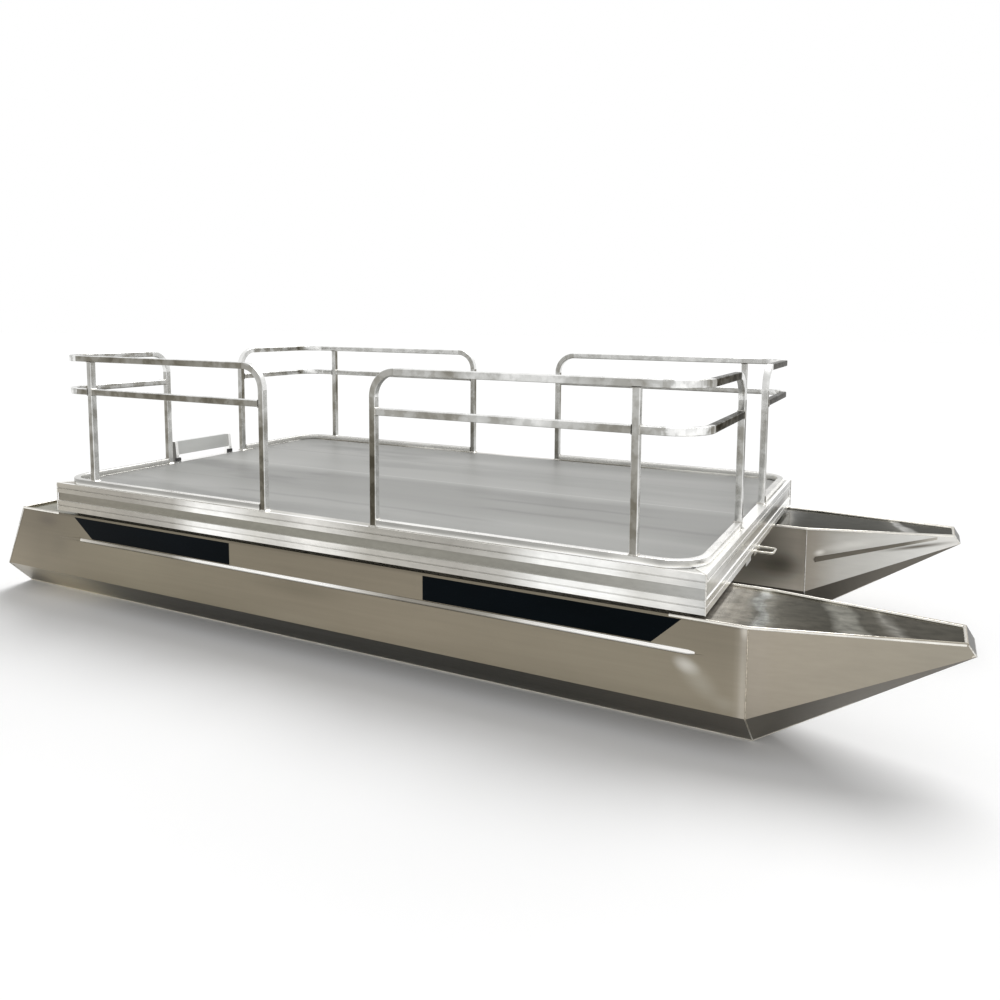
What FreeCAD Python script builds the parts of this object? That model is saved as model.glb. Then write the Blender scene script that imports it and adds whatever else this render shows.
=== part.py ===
"""Small twin-hull pontoon boat: two sheet-metal floats, a framed deck, four corner
rails of square tube, a motor mount and a bow eye.

X runs from stern to bow, Y to port and Z up.  The origin is on the floor below the
middle of the boat, which stands on the flat bottoms of its floats.  Millimetres.
"""
import FreeCAD, Part
import math
import os

V = FreeCAD.Vector
X, Y, Z = V(1, 0, 0), V(0, 1, 0), V(0, 0, 1)
os.makedirs("parts", exist_ok=True)

# ---- driving dimensions -------------------------------------------------------------
# floats
float_length = 4453.0
float_width = 424.0
float_height = 450.0
float_proud = 3.5               # the floats' outer sides stand this far outside the deck
chine_in = 156.0                # the bottom corner's bevel, sideways
chine_up = 145.0                # and upwards
stern_rake = 205.0              # how far the bottom reaches aft of the top edge
bow_length = 647.0              # from the weld seam to the nose
nose_width = 170.0
nose_height = 39.0
nose_rake = 25.0
bow_rise = 15.0                 # the bow's top edge climbs this much to the nose
lip_width = 6.0                 # side walls that stand round the sunk top plate
lip_height = 7.0
top_plate_thickness = 3.0
stern_plate_thickness = 4.0
# pressed bead along the outer side
bead_radius = 10.0
bead_sunk = 3.0                 # its axis lies this far inside the sheet
bead_below_top = 117.0
bead_stern_gap = 470.0          # from the stern's lowest corner to the bead's end
bead_bow_gap = 130.0            # from the bead's end to the seam
bead_point = 150.0              # length of each pointed end
bead_facets = 6
# spray strake on the inner side of each bow
strake_seam_gap = 42.0
strake_nose_gap = 70.0
strake_drop = 134.0             # its upper edge below the bow's top edge, at the seam
strake_end_drop = 14.0          # and at the nose
strake_height = 26.0
strake_reach = 24.0
strake_end_scale = 0.45
# deck
deck_length = 3200.0
deck_width = 1829.0
deck_gap = 12.0                 # clear gap between the floats' lips and the deck's edge
seam_ahead = 138.0              # the seam lies this far ahead of the deck
edge_height = 136.0
edge_wall = 8.0
edge_flange = 6.0
edge_top_reach = 50.0
edge_bottom_reach = 30.0
edge_channel_depth = 4.0
edge_groove_depth = 3.0
floor_thickness = 20.0
floor_panels = 4
# frame under the floor
cross_members = 6
cross_inset = 90.0
cross_width = 50.0
cross_wall = 6.0
riser_offset = 120.0            # each riser from its float's centre
riser_width = 60.0
riser_wall = 5.0
riser_end_gap = 60.0
# rails
tube = 28.6
tube_corner = 3.5               # bevel of the tube's corners
rail_height = 626.0
mid_rail_height = 455.0         # its axis above the deck
side_inset = 7.0                # from the deck's edge to the tube's outer face
bow_inset = 19.0
stern_inset = 20.0
plan_radius = 130.0             # bends' radii, to the tube's axis
post_radius = 100.0
side_gate_half = 283.5          # from a side gate's middle to its posts' axes
side_gate_aft = 3.0             # how far aft of the deck's middle that is
bow_gate_half = 254.0
stern_gate_half = 274.0
mid_post_in = 253.0             # from the deck's ends
# motor mount
board_length = 376.0
board_height = 76.0
board_thickness = 28.0
board_lift = 32.0               # its lower edge above the deck
board_behind = 2.0              # from the deck's stern edge to its forward face
cheek_thickness = 18.0
cheek_ahead = 12.0              # their feet, ahead of the deck's stern edge
cheek_lean = 8.0                # how far aft the upper corner leans
cheek_down = 100.0
# bow eye
eye_rod = 10.0
eye_width = 92.0
eye_reach = 76.0                # beyond the deck's bow edge
eye_corner = 16.0               # bends' radius, to the rod's axis
eye_drop = 6.5                  # the rod's axis below the deck's edge
eye_plate_thickness = 6.0
eye_plate_width = 112.0
eye_plate_height = 20.0
tab_width = 100.0               # a plain tab that hangs beside it
tab_height = 18.0
tab_thickness = 3.0
tab_offset = 190.0              # to starboard of the middle

# ---- places worked out from them ----------------------------------------------------
nose_x = float_length / 2
keel_stern_x = -float_length / 2
top_stern_x = keel_stern_x + stern_rake
seam_x = nose_x - bow_length
nose_top_x = nose_x - nose_rake
deck_bow_x = seam_x - seam_ahead
deck_stern_x = deck_bow_x - deck_length
deck_mid_x = (deck_bow_x + deck_stern_x) / 2
edge_bottom_z = float_height + deck_gap
deck_z = edge_bottom_z + edge_height
plate_z = float_height - lip_height
side_y = deck_width / 2 - side_inset - tube / 2
bow_rail_x = deck_bow_x - bow_inset - tube / 2
stern_rail_x = deck_stern_x + stern_inset + tube / 2
top_rail_z = deck_z + rail_height - tube / 2
mid_rail_z = deck_z + mid_rail_height
base_rail_z = deck_z + tube / 2

# each end's side gate post, middle post and end post
gate_mid_x = deck_mid_x - side_gate_aft
BOW_POSTS = (gate_mid_x + side_gate_half, deck_bow_x - mid_post_in, bow_gate_half)
STERN_POSTS = (gate_mid_x - side_gate_half, deck_stern_x + mid_post_in, stern_gate_half)
RAILS = (
    # name, side, end, (gate_x, mid_x, end_y)
    ("stbd_bow", -1, 1, BOW_POSTS),
    ("port_bow", 1, 1, BOW_POSTS),
    ("stbd_stern", -1, -1, STERN_POSTS),
    ("port_stern", 1, -1, STERN_POSTS),
)
SIDES = (("port", 1), ("stbd", -1))


# ---- helpers ------------------------------------------------------------------------
def polygon(points):
    """A flat face through the points."""
    return Part.Face(Part.makePolygon(list(points) + [points[0]]))


def solid_of(faces):
    """A closed solid bounded by flat faces."""
    return Part.Solid(Part.Shell([polygon(face) for face in faces]))


def block(low, high):
    size = high - low
    return Part.makeBox(size.x, size.y, size.z, low)


def on_side(shape, side):
    """What is modelled on the port side, kept there or mirrored to starboard."""
    return shape if side > 0 else shape.mirror(V(0, 0, 0), Y)


def save(name, shape):
    shape.exportStep("parts/" + name + ".step")


# ---- floats -------------------------------------------------------------------------
half = float_width / 2
float_y = deck_width / 2 + float_proud - half
nose_half = nose_width / 2


def top_z(x):
    """Height of the float's top edge: level to the seam, then climbing."""
    return float_height + bow_rise * max(0.0, x - seam_x) / (nose_top_x - seam_x)


def half_width(x):
    """Half the float's width at its top: full to the seam, then tapering."""
    ahead = max(0.0, x - seam_x) / (nose_top_x - seam_x)
    return half + (nose_half - half) * ahead


def float_section(x):
    """The float's six-cornered section, as points going round."""
    keel = half - chine_in
    corners = ((half, float_height), (half, chine_up), (keel, 0),
               (-keel, 0), (-half, chine_up), (-half, float_height))
    return [V(x, float_y + y, z) for y, z in corners]


def stern_wedge(ahead):
    """What lies aft of the raked stern plane, the plane moved ahead by this much."""
    low = V(keel_stern_x + ahead, 0, 0)
    slope = V(stern_rake, 0, float_height)
    far = V(-stern_rake - 100, 0, 0)
    corners = (low - slope, low + slope * 2, low + slope * 2 + far * 3, low - slope + far)
    return polygon(corners).extrude(Y * (2 * float_y))


def top_recess(inset, low, high):
    """The plan of the float's top, inset all round, between two heights measured
    from the top edge."""
    stern = top_stern_x + inset + stern_plate_thickness
    nose = nose_top_x - inset
    plan = [V(x, float_y + s * (half_width(x) - inset), 0)
            for x, s in ((stern, -1), (seam_x, -1), (nose, -1), (nose, 1), (seam_x, 1), (stern, 1))]
    column = polygon(plan).extrude(Z * (2 * float_height))
    xs = (stern - 1, seam_x, nose + 1)
    ribbon = [V(x, 0, top_z(x) + low) for x in xs] + [V(x, 0, top_z(x) + high) for x in reversed(xs)]
    return column.common(polygon(ribbon).extrude(Y * (2 * float_y)))


def bead_section(x, radius):
    """The bead's half-round section, in flat facets, with its back in the sheet."""
    axis = V(x, float_y + half - bead_sunk, float_height - bead_below_top)
    turns = [math.radians(-90 + i * 180 / bead_facets) for i in range(bead_facets + 1)]
    return Part.makePolygon([axis + V(0, math.cos(a), math.sin(a)) * radius for a in turns + turns[:1]])


def bead():
    """The bead along the outer side, with long pointed ends that sink into it."""
    start = keel_stern_x + bead_stern_gap
    end = seam_x - bead_bow_gap
    stations = ((start, bead_sunk), (start + bead_point, bead_radius),
                (end - bead_point, bead_radius), (end, bead_sunk))
    return Part.makeLoft([bead_section(x, radius) for x, radius in stations], True, True)


def float_log():
    """The straight part of the float, solid between its skins."""
    body = polygon(float_section(keel_stern_x - 1)).extrude(X * (seam_x - keel_stern_x + 1))
    body = body.cut(stern_wedge(stern_plate_thickness))
    body = body.cut(top_recess(lip_width, -lip_height - top_plate_thickness, 20))
    return body.fuse(bead()).removeSplitter()


def stern_plate():
    """The raked plate that closes the stern."""
    body = polygon(float_section(keel_stern_x - 1)).extrude(X * (stern_rake + 60))
    return body.cut(stern_wedge(0)).common(stern_wedge(stern_plate_thickness))


def bow_cone():
    """The bow: upright tapering sides, a bottom that rises to a small raked nose,
    and chines that run out to a point there."""
    outer_top, outer_chine, outer_keel, inner_keel, inner_chine, inner_top = float_section(seam_x)
    nose_z = top_z(nose_top_x)
    taper = (half - nose_half) / (nose_top_x - seam_x)
    low_half = nose_half - taper * nose_rake
    tip_outer = V(nose_top_x, float_y + nose_half, nose_z)
    tip_inner = V(nose_top_x, float_y - nose_half, nose_z)
    low_outer = V(nose_x, float_y + low_half, nose_z - nose_height)
    low_inner = V(nose_x, float_y - low_half, nose_z - nose_height)
    body = solid_of((
        (outer_top, outer_chine, outer_keel, inner_keel, inner_chine, inner_top),
        (outer_top, inner_top, tip_inner, tip_outer),
        (outer_top, tip_outer, low_outer, outer_chine),
        (inner_top, inner_chine, low_inner, tip_inner),
        (outer_chine, low_outer, outer_keel),
        (inner_chine, inner_keel, low_inner),
        (outer_keel, low_outer, low_inner, inner_keel),
        (tip_outer, tip_inner, low_inner, low_outer)))
    return body.cut(top_recess(lip_width, -lip_height - top_plate_thickness, 20))


def strake():
    """A tapering three-sided ridge on the bow's inner side."""
    def end(x, drop, scale):
        y = float_y - half_width(x)
        z = top_z(x) - drop
        return (V(x, y, z), V(x, y, z - strake_height * scale),
                V(x, y - strake_reach * scale, z - 0.8 * strake_height * scale))
    a = end(seam_x + strake_seam_gap, strake_drop, 1.0)
    b = end(nose_top_x - strake_nose_gap, strake_end_drop, strake_end_scale)
    return Part.makeLoft([Part.makePolygon(list(s) + [s[0]]) for s in (a, b)], True, True)


for side_name, side in SIDES:
    save("float_log_" + side_name, on_side(float_log(), side))
    save("float_top_" + side_name,
         on_side(top_recess(lip_width, -lip_height - top_plate_thickness, -lip_height), side))
    save("stern_plate_" + side_name, on_side(stern_plate(), side))
    save("bow_cone_" + side_name, on_side(bow_cone(), side))
    save("bow_strake_" + side_name, on_side(strake(), side))


# ---- deck edge ----------------------------------------------------------------------
def edge_profile():
    """The edge extrusion's section: (distance in from the outer face, height)."""
    h = edge_height
    d, g = edge_channel_depth, edge_groove_depth
    outer = [(0, 0), (0, 0.165 * h), (g, 0.175 * h), (g, 0.195 * h), (0, 0.205 * h),
             (0, 0.357 * h), (d, 0.37 * h)]
    outer += [(u, h - v) for u, v in reversed(outer)]
    inner = [(edge_top_reach, h), (edge_top_reach, h - edge_flange),
             (edge_wall, h - edge_flange), (edge_wall, edge_flange),
             (edge_bottom_reach, edge_flange), (edge_bottom_reach, 0)]
    return outer + inner


def edge_piece(length, reach):
    """One mitred length of the extrusion, its outer face at Y = 0 facing -Y."""
    profile = polygon([V(-length / 2, u, v) for u, v in edge_profile()])
    plan = polygon([V(-length / 2, 0, 0), V(length / 2, 0, 0),
                    V(length / 2 - reach, reach, 0), V(reach - length / 2, reach, 0)])
    return profile.extrude(X * length).common(plan.extrude(Z * edge_height))


EDGES = (
    # name, length, turn about Z, how far its outer face is from the deck's middle
    ("deck_edge_stbd", deck_length, 0, deck_width / 2),
    ("deck_edge_bow", deck_width, 90, deck_length / 2),
    ("deck_edge_port", deck_length, 180, deck_width / 2),
    ("deck_edge_stern", deck_width, 270, deck_length / 2),
)
for name, length, turn, distance in EDGES:
    piece = edge_piece(length, edge_top_reach)
    piece.translate(V(0, -distance, edge_bottom_z))
    piece.rotate(V(0, 0, 0), Z, turn)
    piece.translate(V(deck_mid_x, 0, 0))
    save(name, piece)

# ---- floor and the frame below it ---------------------------------------------------
floor_low_x = deck_stern_x + edge_top_reach
floor_high_x = deck_bow_x - edge_top_reach
panel_width = (deck_width - 2 * edge_top_reach) / floor_panels
for i in range(floor_panels):
    low_y = -deck_width / 2 + edge_top_reach + i * panel_width
    panel = block(V(floor_low_x, low_y, deck_z - floor_thickness),
                  V(floor_high_x, low_y + panel_width, deck_z))
    save("floor_panel_%d" % (i + 1), panel)

frame_low_z = edge_bottom_z + edge_flange
cross_half = deck_width / 2 - edge_wall
cross_step = (deck_length - 2 * cross_inset - cross_width) / (cross_members - 1)
for i in range(cross_members):
    x = deck_stern_x + cross_inset + i * cross_step
    outside = block(V(x, -cross_half, frame_low_z), V(x + cross_width, cross_half, deck_z - floor_thickness))
    hollow = block(V(x + cross_wall, -cross_half, frame_low_z + cross_wall),
                   V(x + cross_width, cross_half, deck_z - floor_thickness - cross_wall))
    save("cross_member_%d" % (i + 1), outside.cut(hollow))


def riser(offset):
    """A hat-shaped rail that carries the cross members on a float's top plate."""
    y = float_y + offset
    low = V(deck_stern_x + riser_end_gap, y - riser_width / 2, plate_z)
    high = V(deck_bow_x - riser_end_gap, y + riser_width / 2, frame_low_z)
    inside = block(V(low.x, low.y + riser_wall, low.z), V(high.x, high.y - riser_wall, high.z - riser_wall))
    return block(low, high).cut(inside)


for side_name, side in SIDES:
    save("riser_outer_" + side_name, on_side(riser(riser_offset), side))
    save("riser_inner_" + side_name, on_side(riser(-riser_offset), side))


# ---- rails --------------------------------------------------------------------------
def bevelled_square(centre, along, size, corner):
    """A square face with bevelled corners, across the direction along: X, Y or Z."""
    u, v = [axis for axis in (X, Y, Z) if abs(axis.dot(along)) < 0.5]
    h = size / 2
    b = h - corner
    corners = ((h, -b), (h, b), (b, h), (-b, h), (-h, b), (-h, -b), (-b, -h), (b, -h))
    return polygon([centre + u * p + v * q for p, q in corners])


def bent_bar(points, radii, size=tube, corner=tube_corner):
    """A bar along a right-angled path, with a bend at each inner point."""
    pieces = []
    here = points[0]
    for i in range(1, len(points)):
        along = (points[i] - points[i - 1]).normalize()
        bent = i < len(points) - 1
        radius = radii[i - 1] if bent else 0
        stop = points[i] - along * radius
        pieces.append(bevelled_square(here, along, size, corner).extrude(stop - here))
        if bent:
            turn = (points[i + 1] - points[i]).normalize()
            pivot = stop + turn * radius
            section = bevelled_square(stop, along, size, corner)
            pieces.append(section.revolve(pivot, along.cross(turn), 90))
            here = pivot + along * radius
    return pieces[0].fuse(pieces[1:]).removeSplitter() if pieces[1:] else pieces[0]


for name, side, end, (gate_x, mid_x, end_y) in RAILS:
    y = side * side_y
    x = bow_rail_x if end > 0 else stern_rail_x
    stop_y = side * end_y
    to_end = end * tube / 2
    to_middle = side * tube / 2
    frame = bent_bar([V(gate_x, y, deck_z), V(gate_x, y, top_rail_z), V(x, y, top_rail_z),
                       V(x, stop_y, top_rail_z), V(x, stop_y, deck_z)],
                      [post_radius, plan_radius, post_radius])
    save("rail_%s_frame" % name, frame)
    base = bent_bar([V(gate_x + to_end, y, base_rail_z), V(x, y, base_rail_z),
                      V(x, stop_y + to_middle, base_rail_z)], [plan_radius])
    save("rail_%s_base" % name, base)
    post = bent_bar([V(mid_x, y, deck_z + tube), V(mid_x, y, top_rail_z - tube / 2)], [])
    save("rail_%s_post" % name, post)
    side_rail = bent_bar([V(gate_x + to_end, y, mid_rail_z), V(mid_x - to_end, y, mid_rail_z)], [])
    save("rail_%s_mid_side" % name, side_rail)
    end_rail = bent_bar([V(mid_x + to_end, y, mid_rail_z), V(x, y, mid_rail_z),
                          V(x, stop_y + to_middle, mid_rail_z)], [plan_radius])
    save("rail_%s_mid_end" % name, end_rail)

# ---- motor mount --------------------------------------------------------------------
board_x = deck_stern_x - board_behind
board_low_z = deck_z + board_lift
board = block(V(board_x - board_thickness, -board_length / 2, board_low_z),
              V(board_x, board_length / 2, board_low_z + board_height))
save("motor_board", board)


def cheek():
    """A side plate that stands on the deck's edge, laps down its stern face and
    holds the board's end."""
    top = board_low_z + board_height
    front = deck_stern_x + cheek_ahead
    back = board_x - board_thickness
    outline = [(front, deck_z), (front, board_low_z), (front - cheek_lean, top), (back, top),
               (back, deck_z - cheek_down / 2), (deck_stern_x, deck_z - cheek_down),
               (deck_stern_x, deck_z)]
    face = polygon([V(px, board_length / 2, pz) for px, pz in outline])
    return face.extrude(Y * cheek_thickness)


for side_name, side in SIDES:
    save("motor_cheek_" + side_name, on_side(cheek(), side))


# ---- bow eye ------------------------------------------------------------------------
def hanging_plate(y, width, height, thickness):
    """A plate below the deck's bow edge, flush with its face."""
    return block(V(deck_bow_x - thickness, y - width / 2, edge_bottom_z - height),
                 V(deck_bow_x, y + width / 2, edge_bottom_z))


def bow_eye():
    """A U of eight-sided rod on a small plate."""
    plate = hanging_plate(0, eye_plate_width, eye_plate_height, eye_plate_thickness)
    back = deck_bow_x - eye_plate_thickness / 2
    front = deck_bow_x + eye_reach - eye_rod / 2
    leg_y = (eye_width - eye_rod) / 2
    z = edge_bottom_z - eye_drop
    path = [V(back, -leg_y, z), V(front, -leg_y, z), V(front, leg_y, z), V(back, leg_y, z)]
    octagon_corner = eye_rod * (1 - math.sqrt(0.5))
    return plate.fuse(bent_bar(path, [eye_corner, eye_corner], eye_rod, octagon_corner))


save("bow_eye", bow_eye())
save("bow_tab", hanging_plate(-tab_offset, tab_width, tab_height, tab_thickness))
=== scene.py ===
# %% [markdown]
# # Dressing a small pontoon boat
# The boat is two sheet-metal floats, a framed deck, four corner rails of square tube, a
# motor mount and a bow eye.  Its solids come from the CAD source and are loaded here as
# a fixed frame, in metres.  This lesson gives each of them its metal, and adds what a
# solid leaves out: smooth rails, weld beads, vinyl bands and small fasteners.

# %% Load the frame
import math

import bmesh
import bpy
from mathutils import Matrix, Vector


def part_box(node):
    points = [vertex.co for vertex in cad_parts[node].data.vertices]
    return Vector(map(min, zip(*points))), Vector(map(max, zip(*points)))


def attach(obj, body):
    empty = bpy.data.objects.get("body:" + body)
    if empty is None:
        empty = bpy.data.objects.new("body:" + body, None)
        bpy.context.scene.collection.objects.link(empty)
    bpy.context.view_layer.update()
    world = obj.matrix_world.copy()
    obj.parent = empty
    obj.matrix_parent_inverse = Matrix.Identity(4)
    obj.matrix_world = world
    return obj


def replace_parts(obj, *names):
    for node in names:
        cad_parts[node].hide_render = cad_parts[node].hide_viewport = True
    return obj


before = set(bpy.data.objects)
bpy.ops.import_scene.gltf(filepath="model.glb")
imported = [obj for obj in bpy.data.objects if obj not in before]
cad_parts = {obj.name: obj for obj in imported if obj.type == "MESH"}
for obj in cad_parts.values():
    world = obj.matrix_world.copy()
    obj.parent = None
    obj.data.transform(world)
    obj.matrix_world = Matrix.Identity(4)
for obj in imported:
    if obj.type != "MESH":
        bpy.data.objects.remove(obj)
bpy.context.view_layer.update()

SIDES = (("stbd", -1), ("port", 1))
X, Y, Z = Vector((1, 0, 0)), Vector((0, 1, 0)), Vector((0, 0, 1))

# %% [markdown]
# ## The camera
# It stands off the starboard bow, a little above the rails.  A wide lens close to the
# boat makes the near bow large and the stern small.  The turn is built from the three
# directions that a camera has: to its right, up, and back towards itself.

# %% Camera
CAMERA_PLACE = (2.0454, -3.5107, 1.4112)
YAW, PITCH, ROLL = 0.4484, 0.0938, 0.0096
camera = bpy.data.objects.new("camera", bpy.data.cameras.new("camera"))
bpy.context.scene.collection.objects.link(camera)
bpy.context.scene.camera = camera
camera.data.sensor_width = 36.0
camera.data.lens = 29.754
camera.data.shift_x = -0.02796
camera.data.shift_y = -0.10207
camera.data.clip_end = 300.0
forward = Vector((-math.sin(YAW) * math.cos(PITCH), math.cos(YAW) * math.cos(PITCH), -math.sin(PITCH)))
level_right = Vector((math.cos(YAW), math.sin(YAW), 0))
level_up = level_right.cross(forward)
right = level_right * math.cos(ROLL) + level_up * math.sin(ROLL)
up = level_up * math.cos(ROLL) - level_right * math.sin(ROLL)
turn = Matrix((right, up, -forward)).transposed()
camera.matrix_world = Matrix.Translation(CAMERA_PLACE) @ turn.to_4x4()
bpy.context.scene.view_settings.view_transform = "Standard"
print("camera looks along", tuple(round(c, 3) for c in forward))


# %% [markdown]
# ## Sums with nodes
# A material is a tree of nodes, and most of its nodes are small sums.  The two classes
# below let a sum be written as a sum: a Value stands for a node's output, and adding or
# multiplying it makes the maths node.  A Value can also be turned into a mask between
# two places, a ramp of colours, a curve of plain numbers, or a darker colour.

# %% Values and nodes
def shade(red, green, blue):
    """A colour given as 0-255 display values, as the linear colour that a node takes."""
    def linear(value):
        value /= 255
        return value / 12.92 if value <= 0.04045 else ((value + 0.055) / 1.055) ** 2.4
    return (linear(red), linear(green), linear(blue), 1.0)


class Value:
    """A number or a colour that changes over a surface: one output of a node."""

    def __init__(self, nodes, socket):
        self.nodes, self.socket = nodes, socket

    def __add__(self, other):
        return self.nodes.maths("ADD", self, other)

    def __sub__(self, other):
        return self.nodes.maths("SUBTRACT", self, other)

    def __rsub__(self, other):
        return self.nodes.maths("SUBTRACT", other, self)

    def __mul__(self, other):
        return self.nodes.maths("MULTIPLY", self, other)

    def __abs__(self):
        return self.nodes.maths("ABSOLUTE", self)

    def spread(self, low, high, to_low=0.0, to_high=1.0, step="LINEAR"):
        """The value moved from one range to another, and held inside it."""
        return self.nodes.out("ShaderNodeMapRange", "Result", Value=self, From_Min=low, From_Max=high,
                              To_Min=to_low, To_Max=to_high, interpolation_type=step)

    def mask(self, low, high):
        """0 where the value is low, 1 where it is high, with a soft step between."""
        return self.spread(low, high, step="SMOOTHSTEP")

    def band(self, low, high, soft):
        """1 between two places."""
        return self.mask(low - soft, low + soft) * self.mask(high + soft, high - soft)

    def ramp(self, *stops):
        """Colours along the value; each stop is (place, red, green, blue).  The first and
        the last one set the range, which the ramp reads in 256 equal steps."""
        start, end = stops[0][0], stops[-1][0]
        new = self.nodes.add("ShaderNodeValToRGB", Fac=self.spread(start, end))
        elements = new.color_ramp.elements
        while len(elements) < len(stops):
            elements.new(0.5)
        for element, (place, *colour) in zip(elements, stops):
            element.position = (place - start) / (end - start)
            element.color = shade(*colour)
        return Value(self.nodes, new.outputs["Color"])

    def level(self, *stops):
        """Plain numbers along the value; each stop is (place, number)."""
        start, end = stops[0][0], stops[-1][0]
        new = self.nodes.add("ShaderNodeFloatCurve", Value=self.spread(start, end))
        curve = new.mapping.curves[0]
        points = [((place - start) / (end - start), number) for place, number in stops]
        curve.points[0].location, curve.points[1].location = points[0], points[-1]
        for point in points[1:-1]:
            curve.points.new(*point)
        for point in curve.points:
            point.handle_type = "VECTOR"
        new.mapping.update()
        return Value(self.nodes, new.outputs["Value"])

    def toward(self, share, other):
        """The colour, changed to another one by a share from 0 to 1."""
        return self.nodes.mix(share, self, other)

    def scaled(self, share):
        """The colour with its light multiplied by a number."""
        return self.nodes.out("ShaderNodeVectorMath", "Vector", operation="SCALE", Vector=self, Scale=share)

    def dimmed(self, where, keeps):
        """The colour with its light multiplied by a number where a mask is 1."""
        return self.toward(where, self.scaled(keeps))

    def varied(self, noise, amount):
        """The colour, made darker and lighter by a noise."""
        return self.scaled(noise.spread(0.3, 0.7, 1 - amount, 1 + amount))


class Nodes:
    """A tree of nodes being put together."""

    def __init__(self, tree):
        self.tree = tree

    def feed(self, socket, value):
        if isinstance(value, Value):
            self.tree.links.new(value.socket, socket)
        else:
            socket.default_value = value

    def add(self, kind, **settings):
        """A new node; a setting with a capital letter is an input, the rest are its own."""
        new = self.tree.nodes.new(kind)
        for name, value in settings.items():
            if name[0].isupper():
                self.feed(new.inputs[name.replace("_", " ")], value)
            else:
                setattr(new, name, value)
        return new

    def out(self, kind, output, **settings):
        return Value(self, self.add(kind, **settings).outputs[output])

    def maths(self, operation, *values):
        new = self.add("ShaderNodeMath", operation=operation)
        for socket, value in zip(new.inputs, values):
            self.feed(socket, value)
        return Value(self, new.outputs[0])

    def mix(self, share, first, second):
        new = self.add("ShaderNodeMix", data_type="RGBA", Factor=share)
        for socket, colour in zip((s for s in new.inputs if s.type == "RGBA"), (first, second)):
            self.feed(socket, colour)
        return Value(self, next(s for s in new.outputs if s.type == "RGBA"))

    def seen_rays(self):
        """1 for rays from the camera, off a mirror-like surface or through glass."""
        path = self.add("ShaderNodeLightPath").outputs
        rays = [Value(self, path["Is %s Ray" % kind]) for kind in ("Camera", "Glossy", "Transmission")]
        return self.maths("MAXIMUM", self.maths("MAXIMUM", *rays[:2]), rays[2])


print("node helpers ready")


# %% [markdown]
# ## A short way to write a finish
# A finish is one metal, paint or film.  Each pattern reads Object coordinates, which are
# metres on the boat because every piece stands at the origin.  What a finish adds to a
# tree of nodes is its place and the way it faces, soft clouds of noise, and the three
# sockets that every finish ends in: colour, roughness and bump.

# %% Finish helper
class Finish(Nodes):
    """A material being put together."""

    def __init__(self, name, metallic=1.0):
        self.material = bpy.data.materials.new(name)
        self.material.use_nodes = True
        super().__init__(self.material.node_tree)
        self.shader = self.tree.nodes["Principled BSDF"].inputs
        self.shader["Metallic"].default_value = metallic
        self.place = self.out("ShaderNodeTexCoord", "Object")
        self.x, self.y, self.z = self.split(self.place)
        self.facing_x, self.facing_y, self.facing_z = self.split(self.out("ShaderNodeNewGeometry", "Normal"))

    def split(self, vector):
        return [Value(self, axis) for axis in self.add("ShaderNodeSeparateXYZ", Vector=vector).outputs]

    def clouds(self, scale, stretch=(1, 1, 1), detail=3.0, shift=0.0):
        """Soft noise from 0 to 1; a small stretch draws it out along that axis."""
        mapped = self.out("ShaderNodeMapping", "Vector", Vector=self.place, Scale=stretch,
                          Location=(shift,) * 3)
        return self.out("ShaderNodeTexNoise", "Fac", Vector=mapped, Scale=scale, Detail=detail)

    def wander(self, amount, *cloud):
        """A noise about zero, to push a place to and fro."""
        return (self.clouds(*cloud) - 0.5) * amount

    def of_face(self, name, output="Fac"):
        """What the faces of a piece hold under a name."""
        return self.out("ShaderNodeAttribute", output, attribute_name=name)

    def outward(self):
        """How far a face looks away from the boat's middle, to either side."""
        return self.facing_y * self.maths("SIGN", self.y)

    def surface(self, tone, gloss, rough, bump, fine=None):
        """Ends a finish: its colour, its roughness from low to high along a noise, and
        its bump as (strength, distance) along that noise or a finer one."""
        strength, distance = bump
        self.feed(self.shader["Base Color"], tone)
        self.feed(self.shader["Roughness"], gloss.spread(0, 1, *rough))
        self.feed(self.shader["Normal"], self.out("ShaderNodeBump", "Normal", Height=fine or gloss,
                                                  Strength=strength, Distance=distance))


print("finish helper ready")

# %% [markdown]
# ## The studio
# The floor is a pale sheet far wider than the boat.  A low even light comes from all
# round, and one broad lamp high behind the boat lets the shadow fall forward and keeps
# it soft.  White is the background's own colour: rays that look straight at it, or by
# way of metal, see it at a strength of one, and the light on the boat is left plain.

# %% Studio
WHITE, PAPER = (1, 1, 1, 1), (0.9, 0.9, 0.9, 1)
EVEN_LIGHT, LAMP_LIGHT, PAPER_GLOW = 0.55, 2.0, 0.06
LAMP_FROM, LAMP_WIDTH = Vector((0.10, 0.60, 1.0)), math.radians(42)

world = bpy.data.worlds.new("studio")
bpy.context.scene.world = world
world.use_nodes = True
walls = Nodes(world.node_tree)
even_light = walls.tree.nodes["Background"]
even_light.inputs["Color"].default_value = WHITE
even_light.inputs["Strength"].default_value = EVEN_LIGHT
choose = walls.add("ShaderNodeMixShader")
white_walls = walls.out("ShaderNodeBackground", 0, Color=WHITE)
walls.feed(choose.inputs[0], walls.seen_rays())
walls.feed(choose.inputs[1], Value(walls, even_light.outputs[0]))
walls.feed(choose.inputs[2], white_walls)
walls.feed(walls.tree.nodes["World Output"].inputs["Surface"], Value(walls, choose.outputs[0]))

lamp = bpy.data.objects.new("lamp", bpy.data.lights.new("lamp", "SUN"))
bpy.context.scene.collection.objects.link(lamp)
lamp.data.energy = LAMP_LIGHT
lamp.data.angle = LAMP_WIDTH
lamp.matrix_world = LAMP_FROM.to_track_quat("Z", "Y").to_matrix().to_4x4()

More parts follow.
